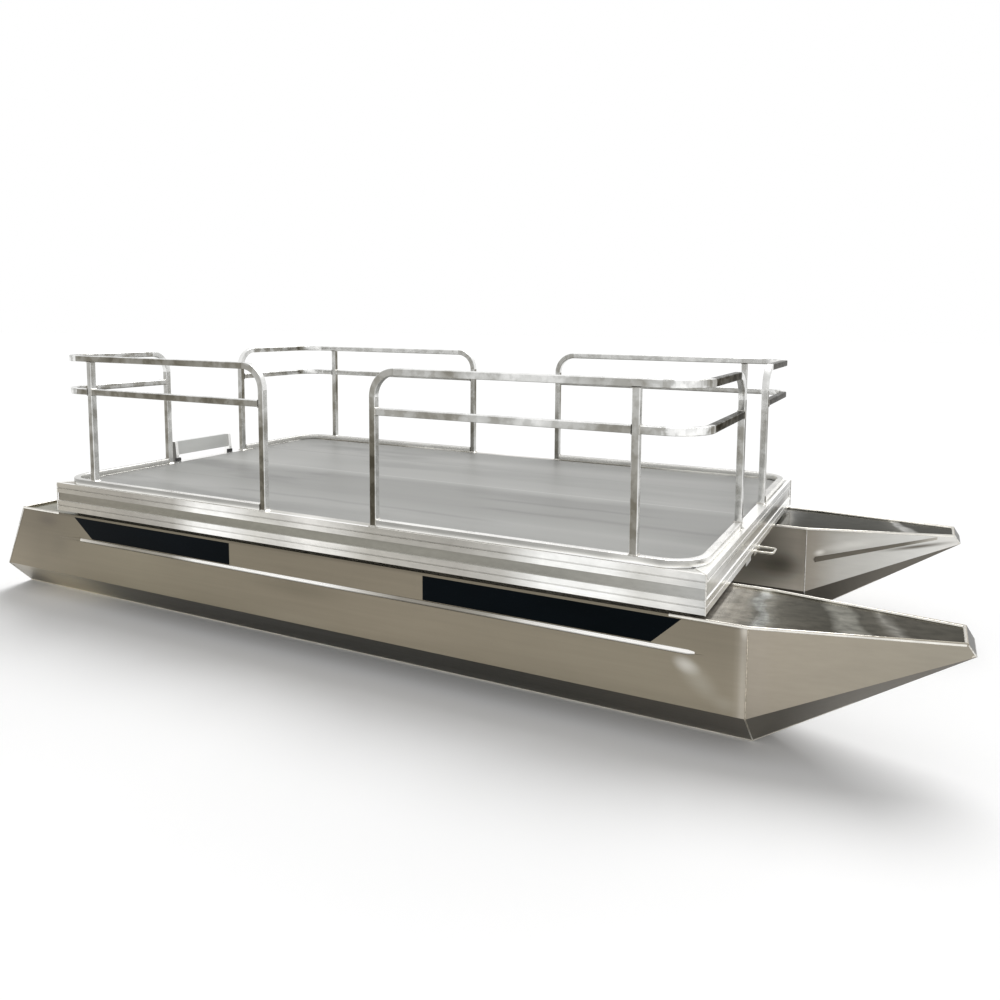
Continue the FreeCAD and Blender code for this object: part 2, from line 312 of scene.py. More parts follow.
floor_mesh = bmesh.new()
bmesh.ops.create_grid(floor_mesh, x_segments=8, y_segments=8, size=60.0)
bmesh.ops.translate(floor_mesh, verts=floor_mesh.verts, vec=(0, 0, -0.001))
floor_data = bpy.data.meshes.new("studio_floor")
floor_mesh.to_mesh(floor_data)
floor_mesh.free()
studio_floor = bpy.data.objects.new("studio_floor", floor_data)
bpy.context.scene.collection.objects.link(studio_floor)
paper = bpy.data.materials.new("white_paper")
paper.use_nodes = True
paper_nodes = Nodes(paper.node_tree)
paper_nodes.tree.nodes.remove(paper_nodes.tree.nodes["Principled BSDF"])
both = paper_nodes.add("ShaderNodeAddShader")
paper_nodes.feed(both.inputs[0], paper_nodes.out("ShaderNodeBsdfDiffuse", 0, Color=PAPER))
glow = paper_nodes.seen_rays() * PAPER_GLOW
paper_nodes.feed(both.inputs[1], paper_nodes.out("ShaderNodeEmission", 0, Strength=glow))
material_end = paper_nodes.tree.nodes["Material Output"].inputs["Surface"]
paper_nodes.feed(material_end, Value(paper_nodes, both.outputs[0]))
floor_data.materials.append(paper)
print("studio ready")

# %% [markdown]
# ## The floats' sheet
# The floats are folded from bare rolled sheet.  Rolling leaves fine lines along the
# sheet and handling leaves faint clouds.  The rest of its tone is painted light: ramps
# along X paint the slow change of what the outer and inner sides mirror, the outer side
# is painted darker towards its top as shade under the deck, and the bevel along the
# bottom looks down and gets painted shade, darkest amidships.  Noise drawn out along X
# makes the rolled lines, a mask on the way the surface faces paints the bevel's shade,
# and soft patches are painted highlights, reflections and shadows.

# %% Sheet metal
def soft_patch(sheet, place, reach, lean, rise):
    """1 at the centre of a patch and 0 outside it; lean shears it along X, and rise
    makes it climb along X."""
    ahead = sheet.x - place[0]
    above = sheet.z - place[1] - ahead * rise
    along, across = (ahead - above * lean) * (1 / reach[0]), above * (1 / reach[1])
    return sheet.maths("SQRT", along * along + across * across).mask(1.0, 0.0)


def sheet_finish(name, outer, fall, inner, bevel, front, patches):
    """Bare sheet: ramps of stops along X for its outer side, inner side and bevel, which
    paint reflection and shade; the outer side's painted fall of light with height; one
    colour for what faces forward, painted shade on the nose; and patches of painted
    highlight, reflection and shadow as (on the inner side, place, reach, lean, rise,
    share, colour)."""
    sheet = Finish(name)
    inside = sheet.outward().mask(-0.2, -0.6)
    # painted reflection along X on the outer side, with painted shade towards its top
    tone = sheet.x.ramp(*outer).scaled(sheet.z.level(*fall))
    # painted reflection along X on the inner side
    tone = tone.toward(inside, sheet.x.ramp(*inner))
    # patches of painted highlight, reflection and shadow
    for on_inner, place, reach, lean, rise, share, colour in patches:
        spot = soft_patch(sheet, place, reach, lean, rise) * (inside if on_inner else 1 - inside)
        tone = tone.toward(spot * share, shade(*colour))
    # the bevel looks down and gets painted shade along X, with a painted highlight in its lowest 14 mm
    under = sheet.x.ramp(*bevel)
    under = under.dimmed(sheet.z.mask(0.014, 0.004), 1.6)
    tone = tone.toward(sheet.facing_z.mask(-0.3, -0.6), under)
    # painted shade on what faces forward, darkest on the nose
    tone = tone.toward(sheet.facing_x.mask(0.6, 0.8), shade(*front))
    tone = tone.varied(sheet.clouds(1.6, (0.6, 1, 1.4), 4.0), 0.07)
    lines = sheet.clouds(60.0, (0.03, 1, 1), 5.0)
    dents = sheet.clouds(3.0, (0.5, 1, 1), 1.0)
    sheet.surface(tone.varied(lines, 0.04), lines, (0.28, 0.42), (0.25, 0.01), dents)
    return sheet


# painted reflection, shade and highlights of the float logs and stern plates
float_sheet = sheet_finish(
    "float_sheet",
    ((-2.23, 146, 137, 120), (-1.9, 131, 123, 107), (-1.6, 135, 127, 110), (-1.2, 145, 137, 119),
     (0.2, 149, 140, 123), (1.25, 150, 142, 125), (1.5, 146, 138, 122), (1.545, 148, 140, 124),
     (1.565, 180, 173, 160), (1.58, 180, 173, 160)),
    ((0.14, 1.05), (0.20, 1.0), (0.25, 0.94), (0.325, 0.86), (0.35, 0.80), (0.435, 0.76), (0.445, 0.60),
     (0.46, 0.56)),
    ((-2.23, 150, 143, 130), (1.0, 186, 180, 167), (1.35, 192, 186, 174), (1.45, 198, 192, 180),
     (1.54, 200, 193, 181), (1.575, 188, 181, 168), (1.58, 188, 181, 168)),
    ((-2.23, 120, 114, 100), (-2.12, 134, 127, 111), (-1.97, 186, 177, 156), (-1.9, 196, 186, 163),
     (-1.7, 184, 176, 155), (-1.5, 130, 124, 108), (-1.38, 104, 100, 86), (-1.28, 94, 88, 73),
     (-1.1, 78, 72, 57), (-0.8, 67, 62, 48), (0.6, 62, 58, 44), (1.0, 82, 77, 64), (1.2, 94, 88, 76),
     (1.58, 108, 102, 91)),
    (150, 144, 130), (
        (False, (1.385, 0.286), (0.055, 0.040), -0.5, 0.0, 0.9, (206, 203, 196)),
        (False, (1.425, 0.245), (0.075, 0.090), -0.7, 0.0, 0.5, (176, 171, 158)),
        (False, (1.572, 0.440), (0.022, 0.050), 0.0, 0.0, 0.8, (205, 200, 190)),
        (False, (1.515, 0.180), (0.060, 0.040), 0.0, 0.0, 0.5, (168, 162, 148)),
        (False, (-1.833, 0.405), (0.110, 0.050), 0.0, 0.0, 0.7, (104, 97, 87)),
        (False, (-1.750, 0.300), (0.100, 0.110), 0.3, 0.0, 0.35, (112, 106, 93)),
        (False, (-0.250, 0.300), (0.350, 0.060), 0.0, 0.0, 0.5, (120, 113, 98)),
        (False, (-0.300, 0.150), (0.380, 0.070), 0.0, 0.0, 0.25, (172, 163, 146)),
        (True, (1.42, 0.250), (0.240, 0.130), 0.0, 0.0, 0.8, (122, 117, 106)),
        (True, (1.470, 0.262), (0.120, 0.085), 0.0, 0.0, 0.6, (84, 80, 70))))
# painted reflection, shade and highlights of the bows
bow_sheet = sheet_finish(
    "bow_sheet",
    ((1.57, 160, 152, 139), (1.62, 161, 153, 140), (1.66, 160, 152, 138), (2.0, 159, 152, 138),
     (2.23, 158, 152, 139)),
    ((0.14, 0.97), (0.25, 1.0), (0.46, 1.0)),
    ((1.57, 160, 153, 142), (1.62, 166, 160, 150), (1.72, 188, 186, 180), (1.9, 198, 197, 192),
     (2.05, 210, 209, 205), (2.23, 226, 224, 219)),
    ((1.57, 116, 111, 100), (1.8, 98, 93, 83), (2.23, 94, 89, 79)),
    (60, 57, 50), (
        (True, (1.70, 0.455), (0.22, 0.035), 0.0, 0.0, 0.5, (150, 144, 134)),
        (True, (1.77, 0.385), (0.17, 0.030), 0.0, 0.24, 0.6, (222, 220, 214)),
        (True, (1.64, 0.338), (0.034, 0.020), 0.0, 0.24, 0.8, (238, 235, 228)),
        (True, (2.05, 0.399), (0.20, 0.014), 0.0, 0.22, 0.95, (104, 99, 90))))
print("sheet finishes ready")

# %% [markdown]
# ## The top plates
# Each float is closed by a bright rolled plate, sunk between the side walls.  It is
# nearly a mirror, and its colour is a painted reflection of the dark hall with a few
# light streaks across it.  A ramp along X holds the painted streaks, and noise pushes
# the X that the ramp reads, so that the streaks bend and lean as on real sheet.

# %% Top plates
def plate_finish(name, middle_y, grazing, stops):
    """A plate; grazing is how much light it keeps where it is seen at a low angle."""
    plate = Finish(name)
    plate.shader["Specular Tint"].default_value = (grazing, grazing, grazing * 0.97, 1)
    plate.feed(plate.shader["Metallic"], plate.x.mask(1.44, 1.56) * 0.45 + 0.55)
    lean = plate.x.mask(1.5, 2.1) * 0.3 + 0.12
    along = (plate.y - middle_y) * lean + plate.x + plate.wander(0.09, 7.0)
    # painted reflection: dark stretches of the hall and light streaks along X
    tone = along.ramp(*stops).varied(plate.clouds(11.0, (1, 2, 1), 4.0), 0.16)
    tone = tone.dimmed(plate.clouds(20.0, (1, 1.6, 1), 3.0, 0.7).mask(0.44, 0.62), 0.74)
    gloss = plate.clouds(5.0, (0.4, 1, 1))
    plate.surface(tone, gloss, (0.1, 0.22), (0.15, 0.004), plate.clouds(6.0, detail=1.0))
    return plate


top_plate_stbd = plate_finish("top_plate_stbd", -0.68, 0.6, (
    (-2.1, 140, 136, 116), (-1.7, 122, 119, 98), (1.46, 186, 180, 170), (1.52, 178, 172, 162),
    (1.552, 152, 148, 139), (1.563, 214, 215, 212), (1.590, 206, 207, 203), (1.602, 164, 161, 152),
    (1.635, 122, 118, 109), (1.68, 96, 92, 84), (1.80, 74, 71, 64), (1.815, 152, 150, 142),
    (1.875, 144, 142, 134), (1.885, 86, 83, 76), (1.955, 96, 92, 84), (1.975, 160, 157, 150),
    (2.005, 84, 80, 73), (2.19, 78, 75, 68), (2.25, 78, 75, 68)))
top_plate_port = plate_finish("top_plate_port", 0.70, 0.51, (
    (-2.1, 140, 136, 116), (-1.7, 122, 119, 98), (1.40, 120, 117, 108), (1.47, 144, 141, 134),
    (1.49, 54, 52, 47), (1.75, 56, 54, 49), (1.86, 60, 58, 53), (1.92, 84, 82, 77),
    (1.965, 120, 118, 113), (1.975, 226, 225, 223), (2.01, 216, 215, 213), (2.02, 58, 56, 51),
    (2.2, 64, 62, 57), (2.25, 64, 62, 57)))
print("top plate finishes ready")

# %% [markdown]
# ## The deck's edge
# The deck is framed by a drawn extrusion with ribs, grooves and a recessed channel.
# Its ribs carry painted reflections, bright and dim stretches along the length, its
# recessed channel has its own darker ramp of painted reflection, its grooves get painted
# shade, and the lip on top gets a painted highlight.  The bands are masks on Z, at the
# heights that the section has, and noise drawn out along the length gives the drawn
# lines.  The side lengths run along X and the end lengths along Y, so each has its own
# ramps.

# %% Deck edge
edge_low, edge_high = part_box("deck_edge_port")
edge_height = edge_high.z - edge_low.z
deck_stern_x, deck_bow_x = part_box("deck_edge_stern")[0].x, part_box("deck_edge_bow")[1].x
LIP = 0.012


def edge_finish(name, run, outward, stretch, lip_at, ribs, low_ribs, channel):
    """An extrusion along one axis, with ramps of painted reflection for its upper ribs,
    its lower ribs and its recessed channel, painted shade in its grooves, and a painted
    highlight on its lip from lip_at outwards."""
    edge = Finish(name)
    run, outward = getattr(edge, run), abs(getattr(edge, outward))
    streak = edge.clouds(26.0, stretch, 4.0)
    height = edge.z * (1 / edge_height) - edge_low.z / edge_height
    # painted reflection along the run for the upper and lower ribs and the recessed channel
    tone = run.ramp(*ribs).toward(height.mask(0.55, 0.45), run.ramp(*low_ribs))
    tone = tone.toward(height.band(0.355, 0.645, 0.004), run.ramp(*channel))
    tone = tone.varied(streak, 0.10).varied(edge.clouds(60.0, (0.5, 0.5, 1)), 0.05)
    # painted shade in the two grooves
    for groove in (0.168, 0.798):
        tone = tone.dimmed(height.band(groove, groove + 0.034, 0.006), 0.76)
    # painted highlight along the outer edge of the top
    lip = edge.facing_z.mask(0.5, 0.8) * outward.mask(lip_at - 0.004, lip_at)
    tone = tone.toward(lip, shade(253, 252, 250))
    edge.surface(tone, streak, (0.2, 0.4), (0.1, 0.0006), edge.clouds(120.0, stretch))
    return edge


side_edge = edge_finish(
    "side_edge", "x", "y", (0.05, 1, 1), edge_high.y - LIP,
    ((-1.76, 172, 167, 156), (-1.25, 157, 153, 145), (-0.97, 176, 173, 166), (-0.82, 248, 247, 243),
     (-0.66, 251, 250, 247), (-0.48, 207, 205, 198), (-0.34, 198, 196, 190), (-0.2, 226, 224, 219),
     (0.0, 196, 194, 188), (0.1, 174, 171, 163), (0.50, 170, 167, 160), (0.70, 188, 186, 180),
     (0.86, 248, 248, 245), (1.12, 246, 246, 243), (1.21, 216, 215, 210), (1.32, 226, 225, 221),
     (1.44, 206, 206, 203), (1.45, 206, 206, 203)),
    ((-1.76, 172, 167, 156), (-1.25, 162, 158, 150), (-0.97, 178, 175, 168), (-0.82, 252, 251, 247),
     (-0.66, 252, 251, 248), (-0.48, 220, 218, 211), (-0.34, 216, 214, 208), (-0.2, 246, 244, 239),
     (-0.05, 230, 228, 222), (0.1, 190, 187, 179), (0.50, 178, 175, 168), (0.70, 190, 188, 182),
     (0.86, 248, 248, 245), (1.12, 250, 250, 247), (1.21, 224, 223, 218), (1.32, 230, 229, 225),
     (1.44, 206, 206, 203), (1.45, 206, 206, 203)),
    ((-1.76, 130, 125, 114), (-0.6, 138, 136, 126), (0.6, 140, 138, 130), (0.9, 146, 145, 138),
     (1.2, 160, 159, 153), (1.44, 172, 172, 169), (1.45, 172, 172, 169)))
end_edge = edge_finish(
    "end_edge", "y", "x", (1, 0.05, 1), deck_bow_x - LIP,
    ((-0.92, 240, 240, 237), (-0.5, 250, 250, 247), (-0.2, 251, 251, 248), (0.25, 248, 248, 245),
     (0.38, 176, 176, 173), (0.7, 158, 158, 155), (0.85, 184, 184, 181), (0.92, 190, 190, 187)),
    ((-0.92, 253, 253, 250), (0.92, 253, 253, 250)),
    ((-0.92, 236, 236, 233), (-0.6, 216, 215, 212), (-0.3, 226, 225, 221), (0.1, 206, 203, 197),
     (0.38, 176, 173, 166), (0.48, 140, 136, 129), (0.62, 96, 92, 86), (0.72, 128, 125, 119),
     (0.85, 178, 176, 171), (0.92, 150, 148, 143)))
print("edge finishes ready, edge height", round(edge_height, 3))

# %% [markdown]
# ## The floor
# The floor is painted light grey with a soft sheen.  Its panels meet in thin lines, it
# has faint darker streaks, patches and tracks along it, it is a little lighter at the
# stern end, and painted shade darkens it where it meets the rails' feet.  The tracks and
# lines are masks about a place across the boat, and noise lets the tracks wander.

# %% Floor paint
FOOT_WIDTH = 0.025
DARKER_TRACKS = (
    # middle across the boat, reach to each side, start and end along it
    (-0.235, 0.016, 0.25, 1.05), (-0.405, 0.022, 0.35, 1.45),
    (-0.60, 0.016, -0.9, 0.5), (0.62, 0.05, -1.5, -0.6))
floor_paint = Finish("floor_paint", metallic=0.0)
floor_paint.shader["Specular IOR Level"].default_value = 0.3
paint_tone = (floor_paint.y + floor_paint.wander(0.12, 2.2, (0.5, 1, 1))).ramp(
    (-0.9, 148, 148, 145), (-0.88, 148, 148, 145), (-0.6, 156, 156, 153), (-0.44, 139, 139, 136),
    (-0.32, 140, 140, 137), (-0.1, 137, 137, 134), (0.0, 158, 158, 155), (0.2, 150, 150, 147),
    (0.6, 156, 156, 153), (0.75, 139, 139, 136), (0.88, 132, 132, 129), (0.9, 132, 132, 129))
paint_tone = paint_tone.scaled(floor_paint.x.level((-1.75, 1.06), (-1.2, 1.10), (-0.9, 1.0), (1.4, 1.0)))
# darker patches, stronger towards the stern
darker_patches = floor_paint.clouds(3.2, (0.35, 1.3, 1), 4.0, 1.7).mask(0.50, 0.64)
darker_patches = darker_patches * floor_paint.x.level((-1.75, 1.0), (-0.8, 1.0), (-0.2, 0.45), (1.4, 0.35))
streaks = floor_paint.clouds(5.0, (0.12, 1.6, 1), 4.0)
paint_tone = paint_tone.dimmed(darker_patches, 0.78).varied(streaks, 0.07)
# darker tracks that wander along the floor
track_across = floor_paint.y + floor_paint.wander(0.10, 1.6, (1, 0.2, 1), 2.0)
for middle, reach, start, end in DARKER_TRACKS:
    track = abs(track_across - middle).mask(reach * 1.8, 0.0) * floor_paint.x.band(start, end, 0.12)
    paint_tone = paint_tone.dimmed(track, 0.83)

foot_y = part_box("rail_port_bow_base")[1].y - FOOT_WIDTH
bow_foot_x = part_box("rail_port_bow_base")[1].x - FOOT_WIDTH
stern_foot_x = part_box("rail_port_stern_base")[0].x + FOOT_WIDTH
# painted shade in the corner where the floor meets the rails' feet
painted_foot_shade = abs(floor_paint.y).mask(foot_y - 0.022, foot_y)
for unshaded_x, foot_x in ((bow_foot_x - 0.03, bow_foot_x), (stern_foot_x + 0.03, stern_foot_x)):
    painted_foot_shade = floor_paint.maths("MAXIMUM", painted_foot_shade, floor_paint.x.mask(unshaded_x, foot_x))
paint_tone = paint_tone.dimmed(painted_foot_shade, 0.72)
for panel, colour in ((2, (140, 140, 137)), (3, (172, 172, 169)), (4, (140, 140, 137))):
    seam_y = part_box("floor_panel_%d" % panel)[0].y
    paint_tone = paint_tone.toward(floor_paint.y.band(seam_y - 0.005, seam_y + 0.005, 0.002), shade(*colour))
floor_paint.surface(paint_tone, streaks, (0.36, 0.5), (0.08, 0.0006), floor_paint.clouds(220.0, detail=2.0))
print("floor painted, feet at y", round(foot_y, 3))

# %% [markdown]
# ## The plain metals, the vinyl and the rubber
# The frame below the floor is mill metal, the motor mount satin, the small welds on the
# rails dull and the eye's rod polished.  The vinyl of the bands is almost black.  Each
# is one noise between a darker and a lighter colour, so one function makes them all.

# %% Plain finishes
def plain_finish(name, cloud, dark, light, rough, bump, fine=None, metallic=1.0):
    """One noise between two colours; fine is another noise for the bump."""
    finish = Finish(name, metallic)
    noise = finish.clouds(*cloud)
    finish.surface(noise.ramp((0.3, *dark), (0.7, *light)), noise, rough, bump, fine and finish.clouds(*fine))
    return finish


EVEN = (1, 1, 1)
frame_metal = plain_finish("frame_metal", (8.0, (1, 0.2, 1), 4.0), (132, 129, 121), (168, 165, 157),
                           (0.36, 0.5), (0.1, 0.0006), fine=(90.0, (1, 0.1, 1), 2.0))
mount_metal = plain_finish("mount_metal", (12.0, (1, 0.2, 1)), (214, 215, 213), (228, 229, 227),
                           (0.3, 0.44), (0.08, 0.0005), fine=(80.0, (1, 0.2, 1), 2.0))
weld_grey = plain_finish("weld_grey", (110.0,), (162, 159, 152), (214, 212, 206), (0.28, 0.44), (0.4, 0.001))
rod_metal = plain_finish("rod_metal", (40.0, EVEN, 2.0), (180, 176, 164), (226, 223, 214),
                         (0.12, 0.28), (0.15, 0.0005))
navy_vinyl = plain_finish("navy_vinyl", (5.0, (0.5, 1, 2)), (3, 8, 11), (7, 14, 19),
                          (0.24, 0.4), (0.08, 0.001), metallic=0.0)
navy_vinyl.shader["Specular IOR Level"].default_value = 0.03
black_rubber = plain_finish("black_rubber", (150.0, EVEN, 2.0), (24, 24, 23), (44, 43, 41),
                            (0.5, 0.7), (0.2, 0.0005), metallic=0.0)
print("plain finishes ready")

# %% [markdown]
# ## The metals that change from place to place
# The strake gets painted shade, darker towards the seam.  The mount's cheeks are bright
# inside, and the outer side of the starboard one gets painted shade.  Weld metal is pale
# and rippled, and the seam of the starboard bow is darker.  The rim's bead is painted
# lighter on its sides than on top, and the bead along the keel is a painted highlight,
# palest amidships.

# %% Varied finishes
strake_metal = Finish("strake_metal")
ridge = strake_metal.clouds(20.0, (0.1, 1, 1))
# painted shade: the strake is darker towards the seam
strake_tone = strake_metal.x.ramp((1.6, 104, 99, 90), (2.0, 112, 108, 99), (2.12, 170, 166, 158),
                                  (2.15, 170, 166, 158))
strake_metal.surface(strake_tone.varied(ridge, 0.12), ridge, (0.24, 0.36), (0.1, 0.0006))

cheek_metal = Finish("cheek_metal")
satin = cheek_metal.clouds(14.0, (1, 1, 0.3))
# painted shade on the outer side of the starboard cheek
shaded_cheek_side = cheek_metal.facing_y.mask(-0.5, -0.8) * cheek_metal.y.mask(0.05, -0.05)
cheek_tone = cheek_metal.mix(shaded_cheek_side, shade(252, 252, 250), shade(104, 103, 99))
cheek_metal.surface(cheek_tone.varied(satin, 0.06), satin, (0.26, 0.4), (0.08, 0.0005))

weld_metal = Finish("weld_metal")
ripple = weld_metal.clouds(120.0)
weld_tone = ripple.ramp((0.25, 170, 167, 160), (0.5, 228, 226, 220), (0.75, 248, 247, 243))
dull_tone = ripple.ramp((0.25, 146, 140, 126), (0.5, 190, 182, 166), (0.75, 216, 208, 193))
# the seam at the starboard bow is darker
darker_seam = weld_metal.y.mask(-0.80, -0.86) * weld_metal.z.mask(0.455, 0.44)
darker_seam = darker_seam * weld_metal.x.band(1.5, 1.7, 0.02)
weld_metal.surface(weld_tone.toward(darker_seam, dull_tone), ripple, (0.22, 0.42), (0.5, 0.0015))

rim_metal = Finish("rim_metal")
laid = rim_metal.clouds(34.0, (0.5, 1, 1))
# painted light: the bead's sides are painted lighter than its top
rim_tone = rim_metal.mix(rim_metal.facing_z.mask(0.2, 0.75), shade(240, 237, 229), shade(196, 192, 184))
rim_metal.surface(rim_tone.varied(laid, 0.12), laid, (0.18, 0.34), (0.2, 0.0008))

keel_metal = Finish("keel_metal")
keel_lines = keel_metal.clouds(30.0, (0.2, 1, 1))
# painted highlight: the keel bead is near white, palest amidships
keel_tone = keel_metal.x.ramp((-2.25, 236, 230, 214), (-1.0, 250, 245, 232), (1.5, 250, 246, 236),
                              (2.2, 226, 221, 210))
keel_metal.surface(keel_tone.varied(keel_lines, 0.12), keel_lines, (0.24, 0.4), (0.1, 0.0006))
print("varied finishes ready")

# %% [markdown]
# ## Give the CAD nodes their metals
# A CAD node keeps its shape, and its one material slot takes the finish that belongs
# to it.  The first name in the table that a node's name starts with wins.  Smooth pieces
# take the places of the rails and the eye further on, and bring their own metal.

# %% CAD node finishes
NODE_FINISHES = (
    ("float_log", float_sheet), ("stern_plate", float_sheet), ("bow_cone", bow_sheet),
    ("bow_strake", strake_metal), ("float_top_stbd", top_plate_stbd), ("float_top_port", top_plate_port),
    ("deck_edge_stbd", side_edge), ("deck_edge_port", side_edge), ("deck_edge", end_edge),
    ("floor_panel", floor_paint), ("cross_member", frame_metal), ("riser", frame_metal),
    ("motor_cheek", cheek_metal), ("motor", mount_metal), ("bow_tab", mount_metal),
    ("bow_eye", rod_metal), ("rail", rod_metal),
)
for node_name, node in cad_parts.items():
    finish = next(f for start, f in NODE_FINISHES if node_name.startswith(start))
    node.data.materials.clear()
    node.data.materials.append(finish.material)
print("finished", len(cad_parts), "CAD nodes")


# %% [markdown]
# ## Turning a bmesh into a piece
# Every new piece ends the same way: its normals are made to point outwards, it becomes
# an object at the origin, gets its finish, is shaded smooth except at real edges, and
# rides on the boat's one body.

# %% Piece helpers
def make_piece(name, work, finish, smooth_angle=40):
    bmesh.ops.remove_doubles(work, verts=work.verts, dist=1e-6)
    bmesh.ops.recalc_face_normals(work, faces=work.faces)
    data = bpy.data.meshes.new(name)
    work.to_mesh(data)
    work.free()
    data.shade_smooth()
    data.set_sharp_from_angle(angle=math.radians(smooth_angle))
    data.materials.append(finish.material)
    piece = bpy.data.objects.new(name, data)
    bpy.context.scene.collection.objects.link(piece)
    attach(piece, "root")
    return piece


def add_to(whole, part):
    """Moves everything from one bmesh into another."""
    carrier = bpy.data.meshes.new("carrier")
    part.to_mesh(carrier)
    part.free()
    whole.from_mesh(carrier)
    bpy.data.meshes.remove(carrier)


def stand(work, along, foot):
    """Turns a shape made along Z to point along a direction, and moves it to its foot."""
    turn = Z.rotation_difference(Vector(along)).to_matrix()
    bmesh.ops.rotate(work, verts=work.verts, cent=(0, 0, 0), matrix=turn)
    bmesh.ops.translate(work, verts=work.verts, vec=foot)


def ease(work, edges, offset, segments=3):
    bmesh.ops.bevel(work, geom=edges, offset=offset, segments=segments, profile=0.5,
                    affect="EDGES", material=-1)


def eased_block(size, centre, offset):
    """A new bmesh with one block whose edges are rounded."""
    work = bmesh.new()
    bmesh.ops.create_cube(work, size=1.0)
    bmesh.ops.scale(work, verts=work.verts, vec=size)
    ease(work, work.edges[:], offset)
    bmesh.ops.translate(work, verts=work.verts, vec=centre)
    return work


# %% [markdown]
# ## The rails
# Each corner rail is one square tube bent into a frame, with a base rail, a middle post
# and mid rails welded in.  A square ring with rounded corners is drawn out along each
# straight run and spun round each bend, as the tube itself passes through a bender.
# The bends reflect the hall differently from the runs, so each face carries a tone of
# painted reflection that the finish reads: bright on top, darker on the sides, darkest
# where a run lies across the boat.  The finish adds more painted reflection along the
# boat and up the posts, painted mottling, and painted shade about the gates.

# %% Rail finish
rail_metal = Finish("rail_metal")
far_side, at_bow = rail_metal.y.mask(-0.05, 0.05), rail_metal.x.mask(1.2, 1.3)
near_side = 1 - far_side
# painted reflection on the sides of lengthwise runs, changing along the boat; the far side is even
run_side = rail_metal.x.level(
    (-2.2, 0.36), (-1.5, 0.30), (-1.34, 0.25), (-1.24, 0.285), (-1.11, 0.20), (-0.92, 0.18), (-0.80, 0.33),
    (-0.68, 0.26), (0.0, 0.45), (0.243, 0.59), (0.355, 0.49), (0.464, 0.425), (0.57, 0.633), (0.673, 0.595),
    (0.77, 0.776), (0.869, 0.79), (0.96, 0.60), (1.055, 0.505), (1.21, 0.47), (1.264, 0.66), (1.31, 0.64),
    (1.6, 0.7))
run_side = run_side + far_side * (0.62 - run_side)
# painted shade on the near posts' sides about the gates, less at their tops
gate_dim = rail_metal.x.level(
    (-1.8, 0.0), (-0.6, 0.0), (-0.5, -0.18), (-0.2, -0.20), (0.05, -0.26), (0.2, -0.26),
    (0.3, 0.0), (1.6, 0.0))
gate_dim = gate_dim * near_side * (1 - rail_metal.z.mask(0.9, 1.08) * 0.45)
# painted reflection on the posts' sides and ends, changing with height, darker at the bow and on the far side
post_side = gate_dim + far_side * 0.06 + rail_metal.z.level(
    (0.5, 0.34), (0.60, 0.34), (0.72, 0.30), (0.85, 0.28), (0.96, 0.42), (1.10, 0.52), (1.3, 0.52))
post_side = post_side + at_bow * rail_metal.z.level(
    (0.5, 0.40), (0.60, 0.38), (0.72, 0.34), (0.85, 0.20), (0.96, 0.0), (1.08, 0.08), (1.3, 0.08))
post_end = rail_metal.z.level(
    (0.5, 0.30), (0.62, 0.27), (0.75, 0.22), (0.85, 0.10), (0.95, -0.10), (1.05, -0.12), (1.3, -0.04))
post_end = post_end - at_bow * 0.16 - far_side * 0.28

# painted reflection: mottling from noise and from reflection blots
rail_tone = rail_metal.of_face("tone") + rail_metal.wander(0.5, 7.5) * (1 - far_side * 0.3)
reflection_blots = (rail_metal.clouds(22.0).mask(0.42, 0.58) - 0.5) * 0.5
rail_tone = rail_tone + rail_metal.of_face("reflection_blots") * reflection_blots
shares = rail_metal.split(rail_metal.of_face("shares", "Vector"))
for share, tone in zip(shares, (run_side, post_side, post_end)):
    rail_tone = rail_tone + share * tone
# painted reflection: the specular tint dims the mirrored light on runs across the bow and on the near bow
# gate's ends
near_gate = at_bow * near_side * rail_metal.z.band(0.76, 1.12, 0.04) * shares[2]
grazing = 1 - rail_metal.of_face("dim_ends") * 0.68 - near_gate * 0.5
rail_metal.feed(rail_metal.shader["Specular Tint"], grazing)
drawn = rail_metal.clouds(70.0)
rail_tone = rail_tone.ramp((0, 70, 66, 56), (0.2, 112, 108, 97), (0.4, 150, 148, 141), (0.6, 190, 190, 187),
                           (0.8, 232, 232, 230), (1, 252, 252, 250))
rail_metal.surface(rail_tone, drawn, (0.18, 0.3), (0.06, 0.0004))

foot_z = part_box("rail_stbd_bow_base")[0].z
base_metal = Finish("base_metal")
# painted light on the base rails: a painted highlight along the foot of their sides and painted reflection
# along X
base_side = (base_metal.z - foot_z).ramp(
    (0, 252, 251, 248), (0.005, 244, 243, 239), (0.009, 206, 205, 200), (0.013, 176, 175, 171),
    (0.018, 160, 159, 155), (0.025, 160, 159, 155))
base_side = base_side.scaled(base_metal.x.level(
    (-2.2, 1.0), (-1.0, 0.92), (-0.5, 1.05), (0.3, 0.95), (0.6, 0.92), (0.9, 1.15), (1.1, 1.2), (1.2, 1.7),
    (1.28, 2.2), (1.5, 2.2)))
base_end = base_metal.x.ramp((-1.9, 226, 225, 221), (-1.6, 226, 225, 221), (1.3, 232, 231, 227),
                             (1.5, 232, 231, 227))
base_top = base_metal.x.ramp((-1.7, 204, 203, 199), (-1.6, 204, 203, 199), (-0.9, 236, 235, 231),
                             (1.4, 240, 239, 236), (1.5, 240, 239, 236))
base_top = base_top.toward(base_metal.y.mask(-0.5, 0.5), shade(196, 195, 191))
